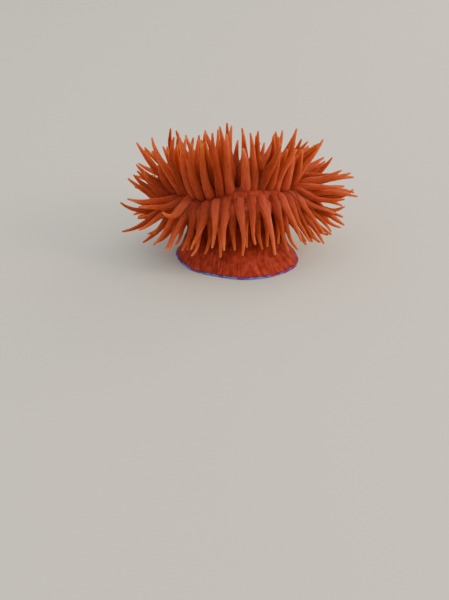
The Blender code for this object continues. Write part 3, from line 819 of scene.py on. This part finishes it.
def eased(lines, radii):
    """Centrelines bent clear of each other and of the body, with every step at its own length."""
    strides = np.linalg.norm(np.diff(lines, axis=1), axis=2)
    rest = bends(lines)
    free = setting_in(FREE_FROM)
    loose = setting_in(LOOSE_FROM)
    for turn in range(EASING_ROUNDS):
        if turn % PAIRING_ROUNDS == 0:
            pairs = near_pairs(lines, radii, free)
        last = turn >= EASING_ROUNDS - LAST_ROUNDS
        lines = pushed_apart(lines, pairs, loose)
        lines = cleared_of_body(lines, radii, free)
        lines = parted(lines, radii, free)
        lines = springing_back(lines, rest, free, LAST_STIFFNESS if last else STIFFNESS)
        lines = with_strides(lines, strides)
    return lines


def grown_crown(seed):
    """Every tentacle with its centreline."""
    tentacles = []
    for number, rings in enumerate((MAIN_RINGS, SMALL_RINGS, RIGHT_RINGS)):
        tentacles += lay_out(rings, random.Random(seed + number))
    tentacles.append(lone_tentacle())
    lines = np.array([grow(tentacle) for tentacle in tentacles])
    shares = [step / STEPS for step in range(STEPS + 1)]
    radii = np.array([[thickness(tentacle, share) for share in shares] for tentacle in tentacles])
    return tentacles, eased(lines, radii)


# From centrelines to flesh


def stops_along():
    """Shares of a tentacle's length, set closer at its root and towards its tip."""
    return [0.5 - 0.5 * math.cos(math.pi * step / (LENGTH_STOPS - 1)) for step in range(LENGTH_STOPS)]


def on_curve(line, share):
    """A place on the smooth curve through a centreline's points."""
    last = len(line) - 1
    at = min(int(share * last), last - 1)
    t = share * last - at
    here, there = line[at], line[at + 1]
    before = line[at - 1] if at > 0 else 2.0 * here - there
    beyond = line[at + 2] if at + 2 <= last else 2.0 * there - here
    square = 2.0 * before - 5.0 * here + 4.0 * there - beyond
    cube = 3.0 * (here - there) + beyond - before
    return here + 0.5 * t * (there - before + (square * t + cube * t * t))


def tentacle_guide(tentacle, line):
    """The places, radii and shares of length of one tentacle's guide, out to its rounded tip."""
    whole = tentacle.length + ROOT_DEPTH
    places, radii, shares = [], [], []
    for share in stops_along():
        above = share * whole - ROOT_DEPTH
        flare = ROOT_FLARES[tentacle.ring.group] * min(max(1.0 - above / FLARE_LENGTH, 0.0), 1.0) ** 2
        rounding = math.sqrt(1.0 - (ROOT_ROUND * min(above, 0.0) / ROOT_DEPTH) ** 2)
        spot = Vector((share * whole / LUMP_LENGTH, LUMP_TURNS * tentacle.bearing, tentacle.thick / MM))
        lump = 1.0 + LUMP_SHARE * noise.noise(spot)
        places.append(on_curve(line, share))
        radii.append((thickness(tentacle, share) * lump + flare) * rounding)
        shares.append(share)
    way = (places[-1] - places[-2]) / np.linalg.norm(places[-1] - places[-2])
    end, last = places[-1], radii[-1]
    for turn in TIP_TURNS:
        places.append(end + way * last * math.sin(math.radians(turn)))
        radii.append(last * math.cos(math.radians(turn)))
        shares.append(1.0)
    return {"places": places, "thickness": radii, "along": shares, "tone": [tentacle.tone] * len(places)}


def line_guide():
    """The line's guide along the foot's margin, swelling and thinning."""
    places, radii = [], []
    for step in range(LINE_STEPS):
        bearing = 2.0 * math.pi * step / LINE_STEPS
        spot = Vector((math.cos(bearing), math.sin(bearing), LINE_LEVEL)) * LINE_WAVES
        swell = LINE_SWELL * noise.noise(spot) + FINE_SWELL * noise.noise(spot * FINE_SWELL_WAVES)
        out = foot_radius(bearing) + margin_ripple(bearing) - LINE_INSET
        places.append(body_point(LINE_HEIGHT, bearing, out))
        radii.append(LINE_RADIUS * (1.0 + swell))
    return {"places": places, "thickness": radii}


def bead_guide():
    """The beads' places round the fold under the crown."""
    height = COLLAR_TOP - BEAD_DROP
    places = []
    for number in range(BEAD_COUNT):
        bearing = 2.0 * math.pi * (number + 0.5) / BEAD_COUNT
        places.append(body_point(height, bearing, flank_radius(height, bearing) - BEAD_SINK * BEAD_RADIUS))
    return {"places": places}


def guide_object(name, guides, closed=False):
    """A mesh of edges that a sweep follows. Each guide has its places and its numbers by name."""
    data = bpy.data.meshes.new(name)
    places = [place for guide in guides for place in guide["places"]]
    edges = []
    start = 0
    for guide in guides:
        count = len(guide["places"])
        edges += [(start + step, start + step + 1) for step in range(count - 1)]
        if closed:
            edges.append((start + count - 1, start))
        start += count
    data.from_pydata(places, edges, [])
    for key in guides[0]:
        if key != "places":
            layer = data.attributes.new(key, "FLOAT", "POINT")
            layer.data.foreach_set("value", [value for guide in guides for value in guide[key]])
    return added(name, data)


def add_node(tree, kind, links=None, sockets=None, stops=(), **settings):
    """A node with its settings, its fixed socket values, its ramp's stops and the outputs that it takes."""
    node = tree.nodes.new(kind)
    for key, value in settings.items():
        setattr(node, key, value)
    for key, value in (sockets or {}).items():
        node.inputs[key].default_value = value
    for key, output in (links or {}).items():
        tree.links.new(output, node.inputs[key])
    if stops:
        elements = node.color_ramp.elements
        while len(elements) < len(stops):
            elements.new(0.5)
        for element, (place, code) in zip(elements, stops):
            element.position = place
            element.color = linear(code) if isinstance(code, str) else code
    return node


def new_tree(name, sockets):
    """A geometry tree with these named inputs, and its input and output nodes."""
    tree = bpy.data.node_groups.new(name, "GeometryNodeTree")
    tree.interface.new_socket("Geometry", in_out="INPUT", socket_type="NodeSocketGeometry")
    tree.interface.new_socket("Geometry", in_out="OUTPUT", socket_type="NodeSocketGeometry")
    for label, kind in sockets:
        tree.interface.new_socket(label, in_out="INPUT", socket_type=kind)
    return tree, tree.nodes.new("NodeGroupInput"), tree.nodes.new("NodeGroupOutput")


def finish_tree(tree, shape, given, result):
    """Ends a tree with its shape smooth, real and in its material."""
    smooth = add_node(tree, "GeometryNodeSetShadeSmooth", {"Geometry": shape})
    real = add_node(tree, "GeometryNodeRealizeInstances", {"Geometry": smooth.outputs[0]})
    dressed = add_node(
        tree, "GeometryNodeSetMaterial", {"Geometry": real.outputs[0], "Material": given.outputs["Material"]}
    )
    tree.links.new(dressed.outputs[0], result.inputs[0])
    return tree


@functools.lru_cache(maxsize=None)
def sweep_tree():
    """Sweeps a circle along each guide, at the radius that the guide's points give."""
    tree, given, result = new_tree(
        "Sweep along guides", (("Sides", "NodeSocketInt"), ("Material", "NodeSocketMaterial"))
    )
    curve = add_node(tree, "GeometryNodeMeshToCurve", {"Mesh": given.outputs["Geometry"]})
    circle = add_node(
        tree, "GeometryNodeCurvePrimitiveCircle", {"Resolution": given.outputs["Sides"]}, {"Radius": 1.0}
    )
    corner = add_node(tree, "GeometryNodeInputPosition")
    marked = add_node(
        tree,
        "GeometryNodeStoreNamedAttribute",
        {"Geometry": circle.outputs[0], "Value": corner.outputs[0]},
        {"Name": "around"},
        data_type="FLOAT_VECTOR",
        domain="POINT",
    )
    radius = add_node(
        tree, "GeometryNodeInputNamedAttribute", sockets={"Name": "thickness"}, data_type="FLOAT"
    )
    tube = add_node(
        tree,
        "GeometryNodeCurveToMesh",
        {"Curve": curve.outputs[0], "Profile Curve": marked.outputs[0], "Scale": radius.outputs["Attribute"]},
        {"Fill Caps": True},
    )
    return finish_tree(tree, tube.outputs[0], given, result)


def bead_tree():
    """Sets a bead on each point, turned and sized at random."""
    sockets = (
        ("Radius", "NodeSocketFloat"),
        ("Fineness", "NodeSocketInt"),
        ("Seed", "NodeSocketInt"),
        ("Material", "NodeSocketMaterial"),
    )
    tree, given, result = new_tree("Beads on points", sockets)
    ball = add_node(
        tree,
        "GeometryNodeMeshIcoSphere",
        {"Radius": given.outputs["Radius"], "Subdivisions": given.outputs["Fineness"]},
    )
    size, turn = [
        add_node(
            tree,
            "FunctionNodeRandomValue",
            {"Seed": given.outputs["Seed"]},
            {"Min": low, "Max": high},
            data_type="FLOAT_VECTOR",
        )
        for low, high in (BEAD_SIZES, BEAD_TURNS)
    ]
    beads = add_node(
        tree,
        "GeometryNodeInstanceOnPoints",
        {
            "Points": given.outputs["Geometry"],
            "Instance": ball.outputs[0],
            "Rotation": turn.outputs[0],
            "Scale": size.outputs[0],
        },
    )
    return finish_tree(tree, beads.outputs[0], given, result)


def grown_mesh(guide, tree, values, name):
    """The plain mesh that a tree makes from its guide, as an object of its own."""
    modifier = guide.modifiers.new("grow", "NODES")
    modifier.node_group = tree
    inputs = {item.name: item.identifier for item in tree.interface.items_tree if item.in_out == "INPUT"}
    for label, value in values.items():
        modifier[inputs[label]] = value
    graph = bpy.context.evaluated_depsgraph_get()
    data = bpy.data.meshes.new_from_object(guide.evaluated_get(graph))
    guide.modifiers.remove(modifier)
    old = guide.data
    bpy.data.objects.remove(guide)
    bpy.data.meshes.remove(old)
    data.name = name
    return added(name, data)


def face_out(piece):
    mesh = bmesh.new()
    mesh.from_mesh(piece.data)
    bmesh.ops.recalc_face_normals(mesh, faces=mesh.faces)
    mesh.to_mesh(piece.data)
    mesh.free()


# Materials


def new_material(name):
    look = bpy.data.materials.new(name)
    look.use_nodes = True
    return look, look.node_tree, look.node_tree.nodes["Principled BSDF"]


def set_sockets(shader, **values):
    for key, value in values.items():
        shader.inputs[key.replace("_", " ")].default_value = value


def chosen(settings, stops):
    """A ramp's stops, with the settings' own colours for their names."""
    return [
        (place, name if name.startswith("#") else tuple(getattr(settings, name))) for place, name in stops
    ]


def uneven(tree, size, detail):
    """A value that rises and falls over the flesh, in patches of a real size."""
    coordinates = add_node(tree, "ShaderNodeTexCoord")
    patches = add_node(
        tree,
        "ShaderNodeTexNoise",
        {"Vector": coordinates.outputs["Object"]},
        {"Scale": 1.0 / size, "Detail": detail},
    )
    return patches.outputs["Fac"]


def paint(tree, shader, value, stops, *layers):
    """Colours along a value, darkened by the shades of each layer in turn."""
    colour = add_node(tree, "ShaderNodeValToRGB", {"Fac": value}, stops=stops).outputs["Color"]
    for level, (share, shades) in layers:
        shade = add_node(tree, "ShaderNodeValToRGB", {"Fac": level}, stops=shades)
        blend = add_node(
            tree,
            "ShaderNodeMix",
            {6: colour, 7: shade.outputs["Color"]},
            {0: share},
            data_type="RGBA",
            blend_type="MULTIPLY",
        )
        colour = blend.outputs[2]
    tree.links.new(colour, shader.inputs["Base Color"])


def raise_relief(tree, shader, *layers):
    """Relief from each layer's value, strength and depth, the finest layer first."""
    below = {}
    for height, (strength, depth) in layers:
        bump = add_node(
            tree, "ShaderNodeBump", {"Height": height, **below}, {"Strength": strength, "Distance": depth}
        )
        below = {"Normal": bump.outputs["Normal"]}
    tree.links.new(below["Normal"], shader.inputs["Normal"])


def soften(shader, **others):
    """The constants of soft wet flesh, in which light sinks in and comes out redder.

    To the eye its shadows and edges are soft, and its thin film of water shines broadly and weakly. Its
    IOR is less than the 1.35 or so of flesh in air, to match that weak shine.
    """
    values = {
        "IOR": 1.12,
        "Specular_IOR_Level": 0.12,
        "Subsurface_Radius": (1.0, 0.5, 0.3),
        "Subsurface_Scale": 3.2 * MM,
    }
    set_sockets(shader, **{**values, **others})


def tentacle_streaks(tree, along, tone):
    """Noise round a tentacle and along it, so that its streaks run lengthwise."""
    side = add_node(tree, "ShaderNodeAttribute", attribute_name="around")
    turned = add_node(tree, "ShaderNodeSeparateXYZ", {"Vector": side.outputs["Vector"]})
    onward = add_node(tree, "ShaderNodeMath", {0: along}, {1: STREAKS_ALONG}, operation="MULTIPLY")
    apart = add_node(
        tree, "ShaderNodeMath", {0: tone, 2: onward.outputs[0]}, {1: STREAKS_APART}, operation="MULTIPLY_ADD"
    )
    place = add_node(
        tree,
        "ShaderNodeCombineXYZ",
        {"X": turned.outputs["X"], "Y": turned.outputs["Y"], "Z": apart.outputs[0]},
    )
    streaks = add_node(
        tree, "ShaderNodeTexNoise", {"Vector": place.outputs[0]}, {"Scale": 1.0 / STREAK_SHARE, "Detail": 3.0}
    )
    return streaks.outputs["Fac"]


def tentacle_look(settings):
    """Smooth wet tentacle flesh, a thin red-pigmented skin over clear jelly.

    To the eye it is paler and more orange towards the tip, where it is thinnest, and darker at the root,
    partly its own colour and partly painted shade where the roots crowd together. It has lengthwise streaks
    of denser pigment, a faint glow from light that passes through, and soft bright edges.
    """
    look, tree, shader = new_material("smooth_wet_tentacle_flesh")
    along = add_node(tree, "ShaderNodeAttribute", attribute_name="along").outputs["Fac"]
    tone = add_node(tree, "ShaderNodeAttribute", attribute_name="tone").outputs["Fac"]
    streaks = tentacle_streaks(tree, along, tone)
    paint(
        tree,
        shader,
        along,
        chosen(settings, TENTACLE_STOPS),
        (uneven(tree, TENTACLE_MOTTLE, 4.0), TENTACLE_SPOTS),
        (streaks, TENTACLE_BANDS),
        (tone, TENTACLE_TONES),
    )
    raise_relief(tree, shader, (uneven(tree, TENTACLE_GRAIN, 3.0), TENTACLE_PITS), (streaks, TENTACLE_RIDGES))
    soften(
        shader,
        Subsurface_Weight=0.9,
        Roughness=0.42,
        Transmission_Weight=0.1,
        Sheen_Weight=0.35,
        Sheen_Roughness=0.3,
        Sheen_Tint=linear("#FF5A30"),
    )
    return look


def skin_streaks(tree):
    """Noise by the bearing and the height, so that its streaks run up the column."""
    coordinates = add_node(tree, "ShaderNodeTexCoord")
    level = add_node(
        tree,
        "ShaderNodeVectorMath",
        {0: coordinates.outputs["Object"]},
        {1: (1.0, 1.0, 0.0)},
        operation="MULTIPLY",
    )
    bearing = add_node(tree, "ShaderNodeVectorMath", {0: level.outputs[0]}, operation="NORMALIZE")
    place = add_node(
        tree,
        "ShaderNodeVectorMath",
        {0: coordinates.outputs["Object"], 2: bearing.outputs[0]},
        {1: (0.0, 0.0, SKIN_STREAK / (FOOT_RADIUS * SKIN_STREAK_HEIGHT))},
        operation="MULTIPLY_ADD",
    )
    streaks = add_node(
        tree,
        "ShaderNodeTexNoise",
        {"Vector": place.outputs[0]},
        {"Scale": FOOT_RADIUS / SKIN_STREAK, "Detail": 4.0},
    )
    return streaks.outputs["Fac"]


def skin_look(settings):
    """Creased wet body skin, thicker and duller than the tentacles'.

    To the eye it is crimson on the foot, maroon up the column, brick red over the crown and violet by the
    mouth. Painted shade darkens the fold under the crown and the throat. It has darker streaks up the
    column, small blotches and hardly any glow.
    """
    look, tree, shader = new_material("creased_wet_body_skin")
    zone = add_node(tree, "ShaderNodeAttribute", attribute_name="zone").outputs["Fac"]
    streaks = skin_streaks(tree)
    paint(
        tree,
        shader,
        zone,
        chosen(settings, SKIN_STOPS),
        (streaks, SKIN_BANDS),
        (uneven(tree, SKIN_MOTTLE, 5.0), SKIN_SPOTS),
    )
    raise_relief(tree, shader, (uneven(tree, SKIN_GRAIN, 4.0), SKIN_PITS), (streaks, SKIN_RIDGES))
    soften(shader, Subsurface_Weight=0.35, Roughness=0.5)
    return look


def blue_look(name, settings, stops, size):
    """Smooth wet flesh, dense with blue pigment: to the eye it is opaque, satin and uneven in its blue."""
    look, tree, shader = new_material(name)
    paint(tree, shader, uneven(tree, size, 3.0), chosen(settings, stops))
    soften(
        shader,
        Subsurface_Weight=0.3,
        Subsurface_Radius=(0.4, 0.5, 1.0),
        Subsurface_Scale=0.5 * MM,
        Roughness=0.32,
    )
    return look


# What a user would change


def number_property(name, description, default, least, unit):
    return bpy.props.FloatProperty(name=name, description=description, default=default, min=least, unit=unit)


def colour_property(name, description, code):
    return bpy.props.FloatVectorProperty(
        name=name, description=description, subtype="COLOR", size=4, min=0.0, max=1.0, default=linear(code)
    )


class AnemoneBodySettings(bpy.types.PropertyGroup):
    """Colours of the skin, of its blue line and of its beads."""

    margin: colour_property("Margin", "Violet red at the foot's very edge", "#8E2A44")
    foot: colour_property("Foot", "Crimson of the foot's flare", "#B04634")
    column: colour_property("Column", "Maroon of the column's wall", "#802C20")
    # Darker than the column and the crown: painted shade in the fold under the crown
    groove: colour_property("Groove", "Fold under the crown", "#6A2228")
    crown: colour_property("Crown", "Brick red between the tentacles", "#A64632")
    disc: colour_property("Disc", "Disc round the mouth", "#7C2A30")
    lip: colour_property("Lips", "Folded lips", "#6E3A5A")
    # Dark inside the mouth: painted shade down the throat
    throat: colour_property("Throat", "Inside of the mouth", "#401420")
    line_dark: colour_property("Dark line", "Violet of the foot's line", "#4A3A86")
    line_light: colour_property("Light line", "Blue of the foot's line", "#5478CC")
    # Both bead blues are darkened by painted shade of the fold under the crown
    bead_dark: colour_property("Dark bead", "Deeper blue of the beads", "#1C2556")
    bead_light: colour_property("Light bead", "Lighter blue of the beads", "#34498C")
    bead_radius: number_property("Bead radius", "Radius of a bead", BEAD_RADIUS, 0.0, "LENGTH")


class AnemoneCrownSettings(bpy.types.PropertyGroup):
    """Colours and fineness of the tentacles."""

    seed: bpy.props.IntProperty(
        name="Seed", description="Seed of the tentacles' differences", default=3, min=0
    )
    sides: bpy.props.IntProperty(name="Sides", description="Sides of a tentacle", default=18, min=6)
    # Darker than the middle: partly the flesh's own colour, partly painted shade where the roots crowd
    root: colour_property("Root", "Tentacle where it leaves the crown", "#A24232")
    middle: colour_property("Middle", "Tentacle at a third of its length", "#BC5A40")
    upper: colour_property("Upper part", "Tentacle near its tip", "#C86642")
    tip: colour_property("Tip", "Tentacle's tip", "#D27444")


class AnemoneStageSettings(bpy.types.PropertyGroup):
    """The camera, the lights and the floor."""

    lens: number_property("Lens", "Focal length", 0.070, 0.01, "LENGTH")
    distance: number_property("Distance", "From the camera to the anemone", 0.311, 0.05, "LENGTH")
    elevation: bpy.props.FloatProperty(
        name="Elevation",
        description="Camera's height as an angle",
        default=math.radians(21.0),
        subtype="ANGLE",
    )
    key_power: number_property("Key light", "Power of the light from the right", 1.4, 0.0, "POWER")
    fill_power: number_property("Fill light", "Power of the light from the left", 0.3, 0.0, "POWER")
    floor: colour_property("Floor", "Pale floor", "#CFC8BA")


# The pieces


def place_piece(piece, slot, *nodes):
    """Attaches a piece to the body and hides the solids that it stands for. Its slot is not used."""
    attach(piece, BODY)
    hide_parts(*nodes)


class ANEMONE_OT_skin(bpy.types.Operator):
    """Build the skin of foot, column, collar, crown and mouth"""

    bl_idname = "anemone.skin"
    bl_label = "Skin"

    def execute(self, context):
        skin = build_skin(skin_look(context.scene.anemone_body))
        place_piece(skin, "column_red", *SKIN_NODES)
        return {"FINISHED"}


class ANEMONE_OT_foot_line(bpy.types.Operator):
    """Draw the thin blue line along the foot's margin"""

    bl_idname = "anemone.foot_line"
    bl_label = "Foot line"

    def execute(self, context):
        look = blue_look("smooth_blue_line_flesh", context.scene.anemone_body, LINE_STOPS, LINE_PATCH)
        guide = guide_object("foot_line_guide", [line_guide()], closed=True)
        line = grown_mesh(guide, sweep_tree(), {"Sides": LINE_SIDES, "Material": look}, "foot_line")
        face_out(line)
        place_piece(line, "rim_blue", "foot_rim")
        return {"FINISHED"}


class ANEMONE_OT_beads(bpy.types.Operator):
    """Set the ring of blue beads in the fold under the crown"""

    bl_idname = "anemone.beads"
    bl_label = "Beads"

    def execute(self, context):
        settings = context.scene.anemone_body
        look = blue_look("smooth_blue_bead_flesh", settings, BEAD_STOPS, BEAD_PATCH)
        guide = guide_object("bead_guide", [bead_guide()])
        values = {
            "Radius": settings.bead_radius,
            "Fineness": BEAD_FINENESS,
            "Seed": BEAD_SEED,
            "Material": look,
        }
        beads = grown_mesh(guide, bead_tree(), values, "beads")
        place_piece(beads, "rim_blue")
        return {"FINISHED"}


class ANEMONE_OT_tentacles(bpy.types.Operator):
    """Grow the tentacles, in one piece for each group of rings"""

    bl_idname = "anemone.tentacles"
    bl_label = "Tentacles"

    def execute(self, context):
        settings = context.scene.anemone_crown
        look = tentacle_look(settings)
        tentacles, lines = grown_crown(settings.seed)
        for group in ("inner", "spreading", "hanging"):
            members = [pair for pair in zip(tentacles, lines) if pair[0].ring.group == group]
            guides = [tentacle_guide(tentacle, line) for tentacle, line in members]
            guide = guide_object(f"{group}_guides", guides)
            values = {"Sides": settings.sides, "Material": look}
            piece = grown_mesh(guide, sweep_tree(), values, f"tentacles_{group}")
            face_out(piece)
            place_piece(piece, "tentacle_red", *TENTACLE_NODES)
        return {"FINISHED"}


class ANEMONE_OT_stage(bpy.types.Operator):
    """Set up the floor, the lights and the camera"""

    bl_idname = "anemone.stage"
    bl_label = "Stage"

    def execute(self, context):
        settings = context.scene.anemone_stage
        build_floor(tuple(settings.floor))
        build_lights(settings.key_power, settings.fill_power)
        build_room()
        build_camera(settings.lens, settings.distance, settings.elevation)
        return {"FINISHED"}


# The stage


def build_floor(colour):
    """The pale floor of matt paper, pressed plain, which shows the eye no gloss and no grain."""
    look, _, shader = new_material("matt_paper")
    set_sockets(shader, Base_Color=colour, Roughness=0.9, IOR=1.4)
    mesh = bmesh.new()
    bmesh.ops.create_grid(mesh, x_segments=1, y_segments=1, size=FLOOR_HALF)
    floor = finished("floor", mesh, look)
    floor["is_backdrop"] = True


def aimed(made, place, target):
    """Sets an object at a place, looking at its target."""
    made.location = place
    made.rotation_mode = "QUATERNION"
    made.rotation_quaternion = (place - target).to_track_quat("Z", "Y")


def build_lights(key_power, fill_power):
    """Three soft lights."""
    powers = {"key": key_power, "fill": fill_power, "back": BACK_SHARE * key_power}
    for name, place, size, tint in LIGHTS:
        light = bpy.data.lights.new(name, "AREA")
        light.shape = "DISK"
        light.size = size
        light.energy = powers[name]
        light.color = linear(tint)[:3]
        aimed(added(name, light), Vector(place), CAMERA_TARGET)


def build_room():
    """The pale room all round, brighter on the right."""
    world = bpy.data.worlds.new("pale_room")
    world.use_nodes = True
    background = world.node_tree.nodes["Background"]
    background.inputs["Color"].default_value = linear(WORLD_COLOUR)
    place = add_node(world.node_tree, "ShaderNodeTexCoord")
    aside = add_node(world.node_tree, "ShaderNodeSeparateXYZ", {"Vector": place.outputs["Generated"]})
    strength = add_node(
        world.node_tree,
        "ShaderNodeMapRange",
        {"Value": aside.outputs["X"]},
        {"From Min": -1.0, "From Max": 1.0, "To Min": WORLD_LEFT, "To Max": WORLD_RIGHT},
    )
    world.node_tree.links.new(strength.outputs["Result"], background.inputs["Strength"])
    bpy.context.scene.world = world


def build_camera(lens, distance, elevation):
    """The camera, turned so that the anemone sits where it does in the photograph's frame."""
    camera = bpy.data.cameras.new("camera")
    camera.lens = lens / MM
    camera.sensor_width = SENSOR
    camera.clip_start = 1.0 * MM
    pixels = FRAME_HEIGHT / SENSOR * camera.lens
    away = Vector((0.0, -math.cos(elevation), math.sin(elevation)))
    turn = away.to_track_quat("Z", "Y")
    turn = turn @ Matrix.Rotation(-math.atan(FRAME_UP / pixels), 4, "X").to_quaternion()
    turn = turn @ Matrix.Rotation(math.atan(FRAME_ASIDE / pixels), 4, "Y").to_quaternion()
    made = added("camera", camera)
    made.location = CAMERA_TARGET + away * distance
    made.rotation_mode = "QUATERNION"
    made.rotation_quaternion = turn
    bpy.context.scene.camera = made


class ANEMONE_PT_panel(bpy.types.Panel):
    """The anemone's settings and pieces"""

    bl_idname = "ANEMONE_PT_panel"
    bl_label = "Beadlet Anemone"
    bl_space_type = "VIEW_3D"
    bl_region_type = "UI"
    bl_category = "Anemone"

    def draw(self, context):
        scene = context.scene
        for settings in (scene.anemone_body, scene.anemone_crown, scene.anemone_stage):
            box = self.layout.box()
            for key in settings.bl_rna.properties.keys():
                if key not in ("rna_type", "name"):
                    box.prop(settings, key)
        for operator in OPERATORS:
            self.layout.operator(operator.bl_idname)


SETTINGS = {
    "anemone_body": AnemoneBodySettings,
    "anemone_crown": AnemoneCrownSettings,
    "anemone_stage": AnemoneStageSettings,
}
OPERATORS = (
    ANEMONE_OT_skin,
    ANEMONE_OT_foot_line,
    ANEMONE_OT_beads,
    ANEMONE_OT_tentacles,
    ANEMONE_OT_stage,
)


def register():
    for kind in (*SETTINGS.values(), *OPERATORS, ANEMONE_PT_panel):
        bpy.utils.register_class(kind)
    for name, kind in SETTINGS.items():
        setattr(bpy.types.Scene, name, bpy.props.PointerProperty(type=kind))


def unregister():
    for name in SETTINGS:
        delattr(bpy.types.Scene, name)
    for kind in (ANEMONE_PT_panel, *reversed(OPERATORS), *SETTINGS.values()):
        bpy.utils.unregister_class(kind)


def main():
    register()
    bpy.ops.anemone.skin()
    bpy.ops.anemone.foot_line()
    bpy.ops.anemone.beads()
    bpy.ops.anemone.tentacles()
    bpy.ops.anemone.stage()
    boxes = {"cad": SOLIDS_BOX, "visual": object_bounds()}
    sizes = {name: [[float(value) for value in corner] for corner in box] for name, box in boxes.items()}


if __name__ == "__main__":
    main()
